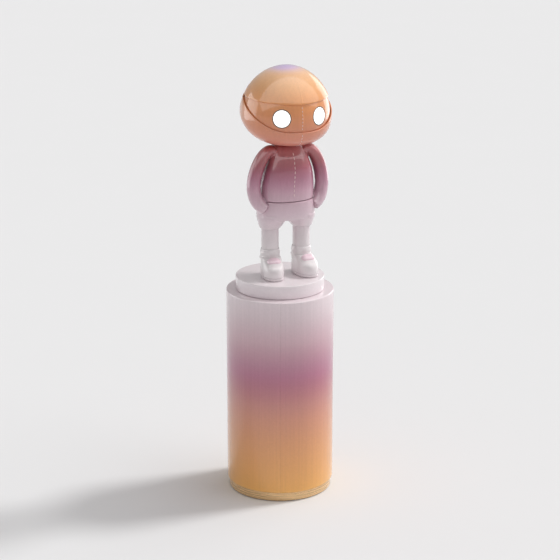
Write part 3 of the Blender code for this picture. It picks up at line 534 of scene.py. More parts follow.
def foot_pieces():
    """Recessed foot ring with its grip ring, and the plate screwed in above it."""
    outer = ring_high.x
    low = ring_low.z
    shoulder = COLUMN_BOTTOM - SLIP
    spigot = COLUMN_RADIUS - COLUMN_WALL - 0.5 * MM
    spigot_inner = spigot - SPIGOT_WALL
    groove_outer = outer - GROOVE_EDGE
    groove_inner = outer - GROOVE_DEPTH
    groove_top = grip_high.z + SLIP
    ceiling = plate_low.z - SLIP
    ring_outline = filleted([
        (FLANGE_INNER, low, 0.4 * MM), (groove_inner, low, 0.3 * MM), (groove_inner, groove_top, 0.0),
        (groove_outer, groove_top, 0.0), (groove_outer, low, 0.3 * MM), (outer, low, 0.8 * MM),
        (outer, shoulder, 0.5 * MM), (spigot, shoulder, 0.0), (spigot, ring_high.z, 0.6 * MM),
        (spigot_inner, ring_high.z, 0.6 * MM), (spigot_inner, ceiling, 0.0),
        (FLANGE_INNER, ceiling, 0.0)], 4)
    ring = piece("foot_ring_shell", turned(ring_outline), champagne, "pedestal", ["foot_ring"])
    grip_outline = filleted([
        (groove_inner + SLIP, grip_low.z, 0.5 * MM), (groove_outer - SLIP, grip_low.z, 0.5 * MM),
        (groove_outer - SLIP, grip_high.z, 0.0), (groove_inner + SLIP, grip_high.z, 0.0)], 4)
    piece("grip_ring", turned(grip_outline), rubber, "pedestal", ["anti_slip_ring"])
    plate_outline = filleted([
        (0.0, plate_low.z, 0.0), (plate_high.x, plate_low.z, 0.5 * MM),
        (plate_high.x, plate_high.z, 0.5 * MM), (0.0, plate_high.z, 0.0)], 4)
    plate = piece("underside_plate", turned(plate_outline), grey_plastic, "pedestal", ["base_plate"])
    past = plate_high.z + OVERRUN
    for index in range(4):
        angle = math.tau * (index + 0.5) / 4
        spot = (SCREW_CIRCLE * math.cos(angle), SCREW_CIRCLE * math.sin(angle))
        for target in (ring, plate):
            bore = turned([(0.0, -OVERRUN), (SCREW_HEAD_HOLE, -OVERRUN), (SCREW_HEAD_HOLE, SCREW_SEAT),
                           (SCREW_HOLE, SCREW_SEAT), (SCREW_HOLE, past), (0.0, past)], 32, spot)
            cut(target, tool("screw_bore", bore))
    cut(plate, tool("bolt_bore", plug(BOLT_HOLE, 0.0, past, 48)))


column_piece()
foot_pieces()


# ---- display disc ----

DISC_WALL = 3.5 * MM
DISC_SKIN = 5.0 * MM
COLLAR_WALL = 2.5 * MM
ROD_HOLE = 2.3 * MM


def leg_spot(sign):
    """Where a leg's axis stands along X in row coordinates."""
    return FIGURE_X + sign * LEG_X


def rod_hole(sign, low, high):
    """Tool for the hole that a long leg screw passes through."""
    return tool("rod_hole", plug(ROD_HOLE, low, high, 32, (leg_spot(sign), 0.0)))


def disc_piece():
    """Thin round disc, hollow below, with a collar that sits over the pedestal's boss."""
    ceiling = disc_high.z - DISC_SKIN
    inner = DISC_RADIUS - DISC_WALL
    collar_inner = BOSS_RADIUS + 0.4 * MM
    collar_outer = collar_inner + COLLAR_WALL
    outline = filleted([
        (0.0, disc_high.z, 0.0), (DISC_RADIUS, disc_high.z, 1.2 * MM), (DISC_RADIUS, disc_low.z, 1.0 * MM),
        (inner, disc_low.z, 0.4 * MM), (inner, ceiling, 0.6 * MM), (collar_outer, ceiling, 0.5 * MM),
        (collar_outer, disc_low.z, 0.4 * MM), (collar_inner, disc_low.z, 0.4 * MM),
        (collar_inner, ceiling, 0.0), (0.0, ceiling, 0.0)])
    disc = piece("disc_shell", turned(outline), pearl, "figure", ["display_disc"])
    for sign in (-1, 1):
        cut(disc, rod_hole(sign, ceiling - 2 * MM, disc_high.z + 2 * MM))


disc_piece()


# ---- shoes, socks and legs ----

SHOE_HALF_LENGTH = 22.6 * MM
SHOE_HALF_WIDTH = 12.9 * MM
SHOE_FORWARD = 8.6 * MM
SHOE_BACK = SHOE_HALF_LENGTH - SHOE_FORWARD
SHOE_FRONT = SHOE_HALF_LENGTH + SHOE_FORWARD
SHOE_SQUARENESS = 0.88
COLLAR_STEPS = 60
CUFF_STEPS = 40


def shoe_ring(height, grow, back, front, sign, count=96):
    """Outline of the shoe at one height, heel to toe along -Y, turned a little out."""
    turn = Matrix.Rotation(sign * TOE_OUT, 4, "Z")
    middle = 0.5 * (back - front)
    half = 0.5 * (back + front)
    ring = []
    for step in range(count):
        angle = math.tau * step / count
        sine = math.sin(angle)
        along = half * bowed(sine, SHOE_SQUARENESS)
        width = SHOE_HALF_WIDTH * grow * (1.0 - 0.06 * sine)
        local = Vector((width * bowed(math.cos(angle), SHOE_SQUARENESS), middle + along, height))
        ring.append(turn @ local + Vector((leg_spot(sign), 0.0, 0.0)))
    return ring


def sole_body(sign):
    """Thin sole with a rounded lower edge, from (height, share of full size, set back) in mm."""
    rings = []
    for height, grow, less in ((0.0, 0.93, 1.2), (0.25, 0.958, 0.65), (0.7, 0.985, 0.25), (1.2, 1.0, 0.0),
                               (2.6, 1.0, 0.0), (3.5, 0.999, 0.02), (3.6, 0.993, 0.1)):
        rings.append(shoe_ring(sole_low.z + height * MM, grow, SHOE_BACK - less * MM,
                               SHOE_FRONT - less * MM, sign))
    return lofted(rings)


def shoe_body(sign):
    """Rounded toe bulb, low instep and a heel that stands up to the ankle.

    Each knot is (share of the height, share of full size, heel set in, toe set in), the last two in mm.
    """
    low = sole_high.z + SLIP
    rise = shoe_high.z - low
    knots = [(0.0, 0.995, 0.05, 0.1), (0.06, 0.999, 0.0, 0.0), (0.20, 1.0, 0.0, 0.0),
             (0.40, 0.99, 0.0, 0.7), (0.56, 0.97, 0.1, 2.2), (0.68, 0.95, 0.2, 4.8),
             (0.78, 0.935, 0.2, 8.4), (0.88, 0.93, 0.3, 12.6), (0.95, 0.935, 0.4, 15.4),
             (1.0, 0.90, 1.0, 17.4)]
    points = smooth_curve([Vector(knot[1:]) for knot in knots], 46)
    heights = smooth_curve([Vector((knot[0], 0.0, 0.0)) for knot in knots], 46)
    rings = [shoe_ring(low + rise * height.x, point.x, SHOE_BACK - point.y * MM,
                       SHOE_FRONT - point.z * MM, sign) for point, height in zip(points, heights)]
    return lofted(rings)


def pad(centre, half, lean, count=40, rows=20):
    """A plump pillow: a superellipsoid leaned about X."""
    turn = Matrix.Rotation(lean, 4, "X")
    rings = []
    for row in range(rows + 1):
        tilt = math.pi * (row / rows - 0.5)
        reach = max(math.cos(tilt), 0.0) ** 0.7
        level = bowed(math.sin(tilt), 0.8)
        if row in (0, rows):
            rings.append([centre + turn @ Vector((0.0, 0.0, half.z * level))])
            continue
        ring = []
        for step in range(count):
            angle = math.tau * step / count
            ring.append(centre + turn @ Vector((half.x * reach * bowed(math.cos(angle), 0.75),
                                                half.y * reach * bowed(math.sin(angle), 0.75),
                                                half.z * level)))
        rings.append(ring)
    return lofted(rings, capped=False)


def sole_and_shoe(side, sign):
    """Sole and upper, with the ankle's socket and the leg screw's hole through both."""
    sole = piece(f"sole_pad_{side}", sole_body(sign), pearl, "figure", [f"sole_{side}"])
    shoe = piece(f"shoe_upper_{side}", shoe_body(sign), pearl, "figure", [f"shoe_{side}"])
    floor = leg_low.z - SLIP
    shelf = cuff_low.z - SLIP
    top = shoe_high.z + 3 * MM
    ankle = LEG_RADIUS + SLIP
    cuff_seat = CUFF_RADIUS - 0.6 * MM
    socket = turned([(0.0, floor), (ankle, floor), (ankle, shelf), (cuff_seat, shelf), (cuff_seat, top),
                     (0.0, top)], 96, (leg_spot(sign), 0.0))
    cut(shoe, tool("socket", socket))
    for item in (sole, shoe):
        cut(item, rod_hole(sign, sole_low.z - 2 * MM, 290 * MM))


def tongue_and_collar(side, sign):
    """Padded tongue on the instep and the soft rolled edge round the back of the ankle."""
    where = Vector((leg_spot(sign), 0.0, 0.0))
    turn = Matrix.Rotation(sign * TOE_OUT, 4, "Z")
    tongue = pad(Vector((0.0, -16.4, 289.6)) * MM, Vector((8.4, 5.6, 5.4)) * MM, math.radians(32))
    tongue.transform(Matrix.Translation(where) @ turn)
    piece(f"shoe_tongue_{side}", tongue, blush, "figure")

    path = []
    radii = []
    for step in range(COLLAR_STEPS + 1):
        angle = math.radians(-138.0 + 276.0 * step / COLLAR_STEPS)
        lift = 1.4 * MM * math.cos(angle / 2.0) ** 2
        spot = Vector((math.sin(angle) * 11.6 * MM, math.cos(angle) * 12.1 * MM, 292.0 * MM + lift))
        path.append(turn @ spot + where)
        fullness = math.sin(math.pi * step / COLLAR_STEPS) ** 0.35
        radii.append(1.15 * MM * min(1.0, 0.25 + 0.75 * fullness))
    rings = []
    for index, point in enumerate(path):
        along = heading(path, index)
        out = along.cross(Vector((0.0, 0.0, 1.0))).normalized()
        rings.append(hoop(point, out, out.cross(along).normalized(), radii[index], 20))
    piece(f"shoe_collar_{side}", lofted(rings), pearl, "figure")


def sock_and_leg(side, sign):
    """Ribbed sock cuff, and the leg tube that runs down through it."""
    centre = (leg_spot(sign), 0.0)
    height = cuff_high.z - cuff_low.z
    leg_gap = LEG_RADIUS + 0.25 * MM
    cuff = [(leg_gap, cuff_low.z), (CUFF_RADIUS - 1.2 * MM, cuff_low.z)]
    for step in range(CUFF_STEPS + 1):
        t = step / CUFF_STEPS
        swell = 1.0 - blend(0.80, 1.0, t)
        fold = 0.5 + 0.5 * math.cos(math.tau * 2.5 * t)
        cuff.append((CUFF_RADIUS - 1.3 * MM + (1.1 * swell - 0.25 * fold) * MM, cuff_low.z + height * t))
    cuff.append((leg_gap + 0.2 * MM, cuff_high.z - 0.1 * MM))
    piece(f"sock_{side}", turned(cuff, 96, centre), pearl, "figure", [f"sock_cuff_{side}"])

    tube_body = plug(LEG_RADIUS, leg_low.z, leg_high.z, 96, centre)
    leg = piece(f"leg_tube_{side}", tube_body, pearl, "figure", [f"leg_{side}"])
    cut(leg, rod_hole(sign, leg_low.z - 2 * MM, leg_high.z + 2 * MM))


for side, sign in SIDES:
    sole_and_shoe(side, sign)
    tongue_and_collar(side, sign)
    sock_and_leg(side, sign)


# ---- shorts, torso and arms ----

CHEST_Y = -6.8 * MM
HIP_Y = -2.0 * MM
CLOTH_WALL = 2.4 * MM
VOXEL = 0.6 * MM
ARM_STEPS = 64
ARM_DEPTH = 1.18
HEM_HEIGHT = 329.0 * MM
HEM_OPENING = 11.1 * MM

# Middle line of the left arm in mm: shoulder seat, elbow, hand in its pocket.
ARM_KNOTS = [(18.5, -7.6, 424.4), (25.0, -8.2, 424.4), (31.8, -8.4, 418.6), (38.3, -7.6, 406.4),
             (42.3, -6.6, 392.5), (43.4, -6.4, 379.0), (40.8, -7.6, 367.0), (36.0, -9.6, 359.6),
             (30.8, -11.2, 355.5)]

# Half width, half depth and height in mm, from the hem up.
TORSO = [(29.2, 21.0, 357.5), (29.4, 21.2, 363.6), (32.4, 24.0, 365.0), (33.0, 24.6, 370.0),
         (32.8, 25.2, 384.0), (30.0, 23.8, 398.0), (25.8, 21.2, 411.0), (22.4, 18.6, 420.0),
         (20.0, 16.6, 426.0), (17.8, 14.4, 430.0), (14.4, 12.4, 431.2)]
SHORTS = [(35.2, 24.2, 341.5), (35.6, 25.0, 345.0), (35.2, 25.2, 352.0), (33.8, 24.8, 359.0),
          (32.6, 24.4, 364.0)]

# Distance out along X, half width, half depth and height in mm, for one leg of the shorts.
LEG_RINGS = [(20.3, 12.0, 12.2, 329.0), (20.3, 12.6, 12.8, 329.8), (19.3, 14.4, 15.0, 333.0),
             (18.4, 16.4, 18.6, 338.0), (17.9, 17.6, 21.4, 341.5), (17.9, 17.6, 22.4, 346.0)]
COLLAR_RINGS = [(15.0, 13.4, 431.5), (15.2, 13.6, 431.8), (15.2, 13.6, 432.1), (15.0, 13.4, 432.5),
                (14.5, 12.9, 432.8), (13.8, 12.3, 432.9), (11.4, 10.4, 432.9), (11.1, 10.1, 432.6),
                (11.0, 10.0, 431.5)]


def oval(half_x, half_y, height, power, centre, count=96):
    """Superellipse ring about the figure's own axis."""
    ring = []
    for step in range(count):
        angle = math.tau * step / count
        ring.append(Vector((FIGURE_X + centre[0] + half_x * bowed(math.cos(angle), 2.0 / power),
                            centre[1] + half_y * bowed(math.sin(angle), 2.0 / power), height)))
    return ring


def raised(ring, height):
    """A ring moved straight up, or down where the height is negative."""
    return [point + Vector((0.0, 0.0, height)) for point in ring]


def arm_limb(sign, grow=0.0):
    """Sleeve as a solid limb: slim at the shoulder, full along the sleeve, slimmer at the wrist."""
    points = [(FIGURE_X + sign * x * MM, y * MM, z * MM) for x, y, z in ARM_KNOTS]
    radii = []
    for step in range(ARM_STEPS):
        t = step / (ARM_STEPS - 1)
        radii.append((6.6 + 1.5 * blend(0.05, 0.42, t) - 0.6 * blend(0.75, 1.0, t)) * MM + grow)
    return tube(smooth_curve(points, ARM_STEPS), radii, LIMB_ROUND, ARM_DEPTH)


def smoothed(item, iterations):
    """Fuse a piece's overlapping solids into one skin with soft creases."""
    remesh = item.modifiers.new("fuse", "REMESH")
    remesh.mode = "VOXEL"
    remesh.voxel_size = VOXEL
    smooth = item.modifiers.new("soften", "SMOOTH")
    smooth.factor = 0.5
    smooth.iterations = iterations
    settle(item)


def joined(*parts):
    """Several bmeshes as one."""
    whole = bmesh.new()
    for part in parts:
        mesh = bpy.data.meshes.new("part")
        part.to_mesh(mesh)
        part.free()
        whole.from_mesh(mesh)
        bpy.data.meshes.remove(mesh)
    return whole


def chest_lean(z):
    """How far the sweater's middle stands from the figure's axis at a height in millimetres."""
    return HIP_Y + (CHEST_Y - HIP_Y) * blend(380, 406, z) + (NECK.y - CHEST_Y) * blend(416, 430, z)


def torso_solid(grow=0.0, extend=0.0):
    """Sweater body as a solid loft, optionally grown, with its ends pushed out."""
    rings = []
    for x, y, z in smooth_curve(TORSO, 70):
        rings.append(oval(x * MM + grow, y * MM + grow, z * MM, 2.2, (0.0, chest_lean(z))))
    if extend:
        rings.insert(0, raised(rings[0], -extend))
        rings.append(raised(rings[-1], extend))
    return lofted(rings)


def torso_lining():
    """Hollow inside the sweater body, open at the hem and at the neck."""
    rings = []
    for x, y, z in smooth_curve(TORSO, 60):
        drop = CLOTH_WALL * blend(416, 424, z)
        rings.append(oval(x * MM - CLOTH_WALL, y * MM - CLOTH_WALL, z * MM - drop, 2.2,
                          (0.0, chest_lean(z))))
    rings.insert(0, raised(rings[0], -4 * MM))
    rings.append(raised(rings[-1], 6 * MM))
    return lofted(rings)


def shorts_solid(shrink=0.0, low=0.0, high=0.0):
    """Body of the shorts as a solid loft, optionally shrunk, its bottom raised and its top pushed up."""
    rings = [oval(x * MM - shrink, y * MM - shrink, z * MM, 2.3, (0.0, HIP_Y * blend(345, 364, z)))
             for x, y, z in smooth_curve(SHORTS, 30)]
    if low:
        rings[0] = raised(rings[0], low)
    if high:
        rings.append(raised(rings[-1], high))
    return lofted(rings)


def adopt(item, name, material, nodes):
    """Make a finished tool object into a shaded piece of the figure."""
    item.name = name
    item.data.name = name
    dress(item, material, "figure", nodes, CREASE_ANGLE)


def copied(name, source):
    """A throwaway object with its own copy of another's mesh."""
    item = tool(name, bmesh.new())
    item.data = source.data.copy()
    return item


def half_space(sign):
    """Box over one side of the figure, to take that side's sleeve."""
    half = bmesh.new()
    bmesh.ops.create_cube(half, size=1.0)
    bmesh.ops.transform(half, matrix=Matrix.Diagonal((0.1, 0.2, 0.2, 1.0)), verts=half.verts)
    bmesh.ops.translate(half, vec=(FIGURE_X + sign * 0.05, 0.0, 0.4), verts=half.verts)
    return tool("half", half)


def sweater_pieces():
    """Body and sleeves, modelled as one soft skin and parted at the shoulder seams."""
    sweater = tool("sweater", joined(torso_solid(), arm_limb(-1), arm_limb(1)))
    smoothed(sweater, 10)
    body = copied("sweater_body", sweater)
    cut(body, tool("seam_body", torso_solid(1.3 * MM, 2 * MM)), "INTERSECT")
    cut(body, tool("lining", torso_lining()))
    adopt(body, "sweater_body", body_ombre, ["torso"])
    for side, sign in SIDES:
        sleeve = copied(f"sleeve_{side}", sweater)
        cut(sleeve, half_space(sign), "INTERSECT")
        cut(sleeve, tool("seam_sleeve", torso_solid(1.32 * MM, 2 * MM)))
        adopt(sleeve, f"sleeve_{side}", body_ombre, [f"arm_{side}"])
    bpy.data.objects.remove(sweater, do_unlink=True)


def shorts_piece():
    """Shorts as one soft skin over body and legs, hollowed, with pockets that the hands fill."""
    legs = [lofted([oval(x * MM, y * MM, z * MM, 2.1, (sign * along * MM, 0.0))
                    for along, x, y, z in LEG_RINGS]) for sign in (-1, 1)]
    shorts = tool("shorts_shell", joined(shorts_solid(), *legs))
    smoothed(shorts, 8)
    cut(shorts, tool("shorts_lining", shorts_solid(CLOTH_WALL, 3 * MM, 6 * MM)))
    for sign in (-1, 1):
        opening = plug(HEM_OPENING, HEM_HEIGHT - 3 * MM, 348 * MM, 96, (leg_spot(sign), 0.0))
        cut(shorts, tool("leg_opening", opening))
        cut(shorts, tool("pocket", arm_limb(sign, 0.35 * MM)))
    adopt(shorts, "shorts_shell", pearl, ["shorts"])


def collar_piece():
    """Low rolled collar round the neck, dark red from the body fade's painted shade under the head."""
    rings = [oval(x * MM, y * MM, z * MM, 2.1, (0.0, NECK.y)) for x, y, z in COLLAR_RINGS]
    piece("collar_band", lofted(rings, closed=True), body_ombre, "figure", ["neck_collar"])


sweater_pieces()
shorts_piece()
collar_piece()


# ---- head ----

def chin_power(azimuth):
    """Squareness of the lower head: full under the face, rounder behind."""
    fall = blend(math.radians(40.0), math.radians(130.0), abs(azimuth))
    return CHIN_POWER_FRONT + (CHIN_POWER_BACK - CHIN_POWER_FRONT) * fall


def tilt_at(height, azimuth, inset=0.0):
    """Angle up the head's profile where it reaches a height."""
    if height < 0.0:
        return -math.asin(min(-height / (HEAD_DROP - inset), 1.0) ** (chin_power(azimuth) / 2.0))
    return math.asin(min(height / (HEAD_RISE - inset), 1.0) ** (CROWN_POWER / 2.0))


def tilt_under(radius, azimuth):
    """Angle on the underside where the profile is this far from the head's axis."""
    return -math.acos((radius / HEAD_RADIUS) ** (chin_power(azimuth) / 2.0))


def head_point(azimuth, tilt, inset=0.0):
    """Point on the head's skin in the nodding head frame; azimuth 0 is the middle of the face."""
    power, reach = (CROWN_POWER, HEAD_RISE) if tilt >= 0.0 else (chin_power(azimuth), HEAD_DROP)
    radius = (HEAD_RADIUS - inset) * max(math.cos(tilt), 0.0) ** (2.0 / power)
    height = math.copysign((reach - inset) * abs(math.sin(tilt)) ** (2.0 / power), tilt)
    return Vector((radius * math.sin(azimuth), -radius * math.cos(azimuth), height))


def cap_edge(azimuth):
    """Height of the cap's rim above the head's centre."""
    fall = blend(math.radians(20.0), math.radians(150.0), abs(azimuth))
    return CAP_EDGE_FRONT + (CAP_EDGE_BACK - CAP_EDGE_FRONT) * fall


def cowl_edge(azimuth):
    """Height of the cowl's upper rim: low under the chin, high round the back."""
    rise = blend(math.radians(20.0), math.radians(110.0), abs(azimuth))
    return COWL_EDGE_FRONT + (COWL_EDGE_BACK - COWL_EDGE_FRONT) * rise


def head_azimuths():
    """Even azimuths with a few close ones about the parting line down the middle of the face."""
    width = SEAM_WIDTH / HEAD_RADIUS
    seam = {share * width: rise for share, rise in SEAM_PROFILE}
    even = [math.tau * step / HEAD_ROUND - math.pi for step in range(HEAD_ROUND)]
    kept = [azimuth for azimuth in even if abs(azimuth) > 2.0 * width]
    return [(azimuth, seam.get(azimuth, 0.0)) for azimuth in sorted(kept + list(seam))]


def wall_track(rows, wall, soft):
    """Way round a shell's section: outside, rounded rim, inside, rounded rim.

    Each step is (share from low to high edge, tilt beyond that edge, depth in the wall).
    """
    track = [(row / rows, 0.0, 0.0) for row in range(rows + 1)]
    rim = [math.pi * step / RIM_STEPS for step in range(1, RIM_STEPS)]
    track += [(1.0, soft * math.sin(angle), 0.5 * wall * (1.0 - math.cos(angle))) for angle in rim]
    track += [(row / rows, 0.0, wall) for row in range(rows, -1, -1)]
    track += [(0.0, -soft * math.sin(angle), 0.5 * wall * (1.0 - math.cos(angle))) for angle in rim[::-1]]
    return track


def skin(low, high, rows, inset, wall):
    """A shell of even wall on the head with rounded rims, between two edges given as tilts."""
    azimuths = head_azimuths()
    soft = 0.5 * wall / HEAD_RADIUS
    rings = []
    for share, beyond, depth in wall_track(rows, wall, soft):
        ring = []
        for azimuth, rise in azimuths:
            start = low(azimuth) + soft
            end = high(azimuth)
            closes = end > CROWN_TILT
            end -= 0.0 if closes else soft
            tilt = start + (end - start) * share + (0.0 if closes and beyond > 0.0 else beyond)
            lift = SEAM_HEIGHT * rise * math.cos(tilt) ** 2 if depth == 0.0 else 0.0
            ring.append(head_to_row @ head_point(azimuth, tilt, inset + depth - lift))
        at_crown = (ring[0] - ring[HEAD_ROUND // 2]).length < 1e-6
        rings.append(ring[:1] if at_crown else ring)
    return lofted(rings, closed=True)


def eye_frame(sign):
    """Turn and place that put +Z out of an eye, in row coordinates."""
    tilt = tilt_at(EYE_HEIGHT, sign * EYE_AZIMUTH, CORE_INSET)
    centre = head_point(sign * EYE_AZIMUTH, tilt, CORE_INSET)
    outward = Vector((sign * math.sin(EYE_AZIMUTH) * math.cos(EYE_TILT),
                      -math.cos(EYE_AZIMUTH) * math.cos(EYE_TILT), math.sin(EYE_TILT)))
    turn = outward.to_track_quat("Z", "Y").to_matrix().to_4x4()
    return head_to_row @ Matrix.Translation(centre) @ turn


def eye_lens():
    """Slightly domed lens, its middle just under the face's surface."""
    outline = [(0.0, -0.15 * MM)]
    for step in range(1, DOME_STEPS + 1):
        t = step / DOME_STEPS
        outline.append(((EYE_RADIUS - 0.35 * MM) * t, (-0.15 - 1.15 * t ** 2.4) * MM))
    outline += [(EYE_RADIUS - 0.1 * MM, -1.5 * MM), (EYE_RADIUS, -1.85 * MM), (EYE_RADIUS, -4.5 * MM),
                (0.0, -4.5 * MM)]
    return turned(outline, 96)


def eye_gap_shade():
    """Thin dark ring round a lens, from (radius, height) in mm; its dark colour is painted shade for the gap
    round the lens.
    """
    section = [(9.95, -1.2), (9.95, -1.02), (10.2, -0.92), (10.8, -0.95), (11.05, -1.1), (11.05, -1.95),
               (10.85, -1.95), (10.72, -1.48), (10.4, -1.33)]
    return turned([(radius * MM, height * MM) for radius, height in section], 96)


def face_pieces():
    """Inner head shell with the neck's bore, the two eye holes, and what fills them."""
    shell = skin(lambda azimuth: tilt_under(CORE_NECK_RADIUS, azimuth),
                 lambda azimuth: tilt_at(cap_edge(azimuth) + CORE_LAP, azimuth), 60, CORE_INSET, CORE_WALL)
    core = piece("face_core", shell, ombre, "head", ["head_core"])
    bore = plug(BUSH_RADIUS + SLIP, NECK.z - 10 * MM, 446 * MM, 96, (NECK.x, NECK.y))
    cut(core, tool("bush_bore", bore))
    for side, sign in SIDES:
        place = eye_frame(sign)
        hole = plug(EYE_RADIUS + SLIP, -9 * MM, 9 * MM, 96)
        hole.transform(place)
        cut(core, tool("eye_hole", hole))
        eye = eye_lens()
        eye.transform(place)
        piece(f"eye_{side}", eye, lens, "head", [f"eye_lens_{side}"])
        # A thin dark ring paints the shade in the gap round the lens.
        gap_ring = eye_gap_shade()
        gap_ring.transform(place)
        piece(f"eye_gap_shade_{side}", gap_ring, gap_shade_paint, "head")
    core.data.shade_smooth()
    core.data.set_sharp_from_angle(angle=CREASE_ANGLE)


def outer_shells():
    """Cowl round the back and under the chin, and the cap that closes the crown."""
    cowl = skin(lambda azimuth: tilt_under(COWL_NECK_RADIUS, azimuth),
                lambda azimuth: tilt_at(cowl_edge(azimuth), azimuth), 48, 0.0, SKIN_WALL)
    piece("cowl_shell", cowl, ombre, "head", ["head_cowl"])
    # The cap's lavender top is the head fade's painted reflection of an overhead light.
    cap = skin(lambda azimuth: tilt_at(cap_edge(azimuth), azimuth),
               lambda azimuth: math.radians(90.0), 48, 0.0, SKIN_WALL)
    piece("cap_shell", cap, ombre, "cap", ["head_cap"])


# ---- raised dashes, pale with painted highlight ----

BEAD_STEPS = 10
HEAD_DASH = (2.6 * MM, 1.5 * MM, 0.32 * MM)
CHEST_DASH = (3.4 * MM, 2.2 * MM, 0.34 * MM)


def along_path(path, distance):
    """Point at a distance along a path of points."""
    marks = []
    travelled = 0.0
    for lower, upper in zip(path, path[1:]):
        marks.append((travelled, lower, upper))
        travelled += (upper - lower).length
    for start, lower, upper in reversed(marks):
        if distance >= start:
            return lower + (upper - lower).normalized() * (distance - start)
    return path[0].copy()


def bead(line, radius):
    """One short rounded dash along a few points."""
    across = Vector((1.0, 0.0, 0.0))
    rings = []
    for index, point in enumerate(line):
        swell = radius * max(math.sin(math.pi * (index + 0.25) / (BEAD_STEPS + 0.5)), 0.12) ** 0.4
        out = heading(line, index).cross(across).normalized()
        rings.append(hoop(point, across, out, swell, 12))
    return lofted(rings)


def dashes(path, length, gap, radius):
    """A row of dashes laid evenly along a path of points."""
    whole = sum((upper - lower).length for lower, upper in zip(path, path[1:]))
    beads = []
    reach = 0.5 * gap
    while reach + length < whole:
        line = [along_path(path, reach + length * step / BEAD_STEPS) for step in range(BEAD_STEPS + 1)]
        beads.append(bead(line, radius))
        reach += length + gap
    return joined(*beads)


def head_line(start, end, inset, count=80):
    """Points down the middle of the face between two tilts."""
    return [head_to_row @ head_point(0.0, start + (end - start) * step / (count - 1), inset)
            for step in range(count)]


def dash_pieces():
    """Raised dashed line down the face, the chin and the chest, pale with painted highlight."""
    face = head_line(tilt_at(cap_edge(0.0) - 1.5 * MM, 0.0), tilt_at(COWL_EDGE_FRONT + 1.5 * MM, 0.0),
                     CORE_INSET)
    piece("face_seam", dashes(face, *HEAD_DASH), seam_highlight_paint, "head")
    chin = head_line(tilt_at(COWL_EDGE_FRONT - 1.5 * MM, 0.0), tilt_under(30 * MM, 0.0), 0.0)
    piece("chin_seam", dashes(chin, *HEAD_DASH), seam_highlight_paint, "head")
    chest = [Vector((FIGURE_X, chest_lean(z) - y * MM, z * MM)) for x, y, z in smooth_curve(TORSO[3:-2], 60)]
    piece("chest_seam", dashes(chest, *CHEST_DASH), seam_highlight_paint, "figure")


face_pieces()
outer_shells()
dash_pieces()


# ---- frame nodes that stay in view ----

FINISHES = {
    "ombre_lacquer": ombre, "pearl_lacquer": pearl, "champagne_trim": champagne, "lit_diffuser": lens,
    "white_plastic": white_plastic, "grey_plastic": grey_plastic, "black_plastic": black_plastic,
    "black_rubber": rubber, "zinc_steel": steel, "ballast_iron": iron, "circuit_board": board,
    "cell_jacket": jacket, "red_wire": red_wire}


def finish_of(name):
    """Finish for a frame node from its own name."""
    kinds = (("battery_tray", "grey_plastic"), ("battery_holder", "black_plastic"),
             ("battery", "cell_jacket"), ("lead", "red_wire"), ("led_board", "circuit_board"),
             ("cup", "white_plastic"),
             ("screw", "zinc_steel"), ("bolt", "zinc_steel"), ("nut", "zinc_steel"), ("clip", "zinc_steel"),
             ("switch_body", "zinc_steel"), ("knob", "black_plastic"), ("anti_slip", "black_rubber"),
             ("washer", "black_rubber"), ("ballast_disc", "ballast_iron"), ("foot_ring", "champagne_trim"),
             ("plate", "grey_plastic"), ("post", "grey_plastic"), ("bush", "grey_plastic"))
    for part, slot in kinds:
        if part in name:
            return slot
    return None


for name, node in frame["nodes"].items():
    slot = finish_of(name)
    if slot:
        node.data.materials.clear()
        node.data.materials.append(FINISHES[slot])


# ---- studio ----

MIDDLE = Vector((0.0, 0.0, 0.262))
KEY_RISE = math.radians(48.0)
CAMERA_RISE = math.radians(16.8)
CAMERA_SWING = math.radians(22.0)
CAMERA_DISTANCE = 2.295
CAMERA_LENS = 122.34
FLOOR_CORNERS = ((-9, -9), (9, -9), (9, 16), (-9, 16))

# Softboxes, seen only as reflections in the gloss: name, watts, place, aim, width and height.
PANELS = [
    ("panel_overhead", 150.0, (-0.15, -0.62, 2.09), (0.0, 0.43, 0.74), 13.0, 2.4),
    ("panel_left", 9.0, (-1.35, 0.95, 0.55), (0.0, 0.0, 0.40), 1.3, 1.1),
    ("panel_right", 7.0, (1.45, 0.75, 0.60), (0.0, 0.0, 0.40), 0.9, 1.3)]


def studio_floor():
    """Plain pale sheet, far larger than the picture, with a very soft tooth."""
    kit = Nodes("floor_paper")
    color = kit.ramp(kit.noise(6.0, 2.0), [(0.0, srgb(230, 230, 230)), (1.0, srgb(231, 231, 231))])
    kit.feed("Base Color", color)
    kit.gloss(Roughness=1.0, Specular_IOR_Level=0.0)
    bm = bmesh.new()
    bm.faces.new([bm.verts.new((x, y, 0.0)) for x, y in FLOOR_CORNERS])
    floor = tool("floor", bm)
    floor.data.materials.append(kit.material)


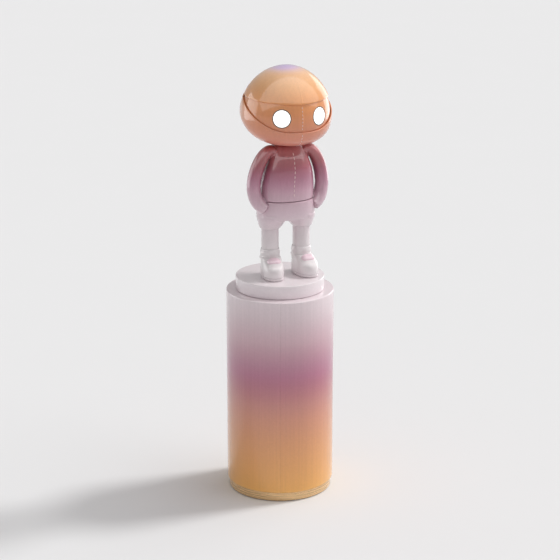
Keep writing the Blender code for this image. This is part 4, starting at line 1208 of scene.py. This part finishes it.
def lamp(name, kind, energy, location, target, **settings):
    """A light at a place, aimed at a point."""
    light = bpy.data.lights.new(name, kind)
    light.energy = energy
    for key, value in settings.items():
        setattr(light, key, value)
    item = bpy.data.objects.new(name, light)
    item.location = location
    item.rotation_euler = (Vector(target) - Vector(location)).to_track_quat("-Z", "Y").to_euler()
    bpy.context.scene.collection.objects.link(item)
    return item


def studio_lights():
    """A key from the right and a broad fill, both hidden from the gloss, and softboxes for it."""
    key_place = MIDDLE + Vector((math.cos(KEY_RISE), 0.0, math.sin(KEY_RISE)))
    key = lamp("key_sun", "SUN", 1.6, key_place, MIDDLE, angle=math.radians(12.0))
    key.visible_glossy = False
    fill = lamp("fill_right", "SUN", 1.0, MIDDLE + Vector((1.0, -0.15, 0.9)), MIDDLE,
                angle=math.radians(80.0))
    fill.visible_glossy = False
    for name, power, spot, target, wide, tall in PANELS:
        panel = lamp(name, "AREA", power, spot, target, shape="RECTANGLE", size=wide, size_y=tall)
        panel.visible_diffuse = False


def studio_world(scene):
    """Even pale surroundings, shown without a film curve."""
    world = bpy.data.worlds.new("studio")
    world.use_nodes = True
    backdrop = world.node_tree.nodes["Background"]
    backdrop.inputs["Color"].default_value = (1.0, 0.99, 1.0, 1.0)
    backdrop.inputs["Strength"].default_value = 0.45
    scene.world = world
    scene.view_settings.view_transform = "Standard"


def studio_camera(scene):
    """Long lens, a little above the figure and to its right."""
    data = bpy.data.cameras.new("camera")
    data.lens = CAMERA_LENS
    data.sensor_width = 36.0
    camera = bpy.data.objects.new("camera", data)
    direction = Vector((-math.cos(CAMERA_RISE) * math.sin(CAMERA_SWING),
                        -math.cos(CAMERA_RISE) * math.cos(CAMERA_SWING), math.sin(CAMERA_RISE)))
    camera.location = MIDDLE + CAMERA_DISTANCE * direction
    camera.rotation_euler = (MIDDLE - camera.location).to_track_quat("-Z", "Y").to_euler()
    scene.collection.objects.link(camera)
    scene.camera = camera


studio_floor()
studio_lights()
studio_world(bpy.context.scene)
studio_camera(bpy.context.scene)

bpy.context.view_layer.update()
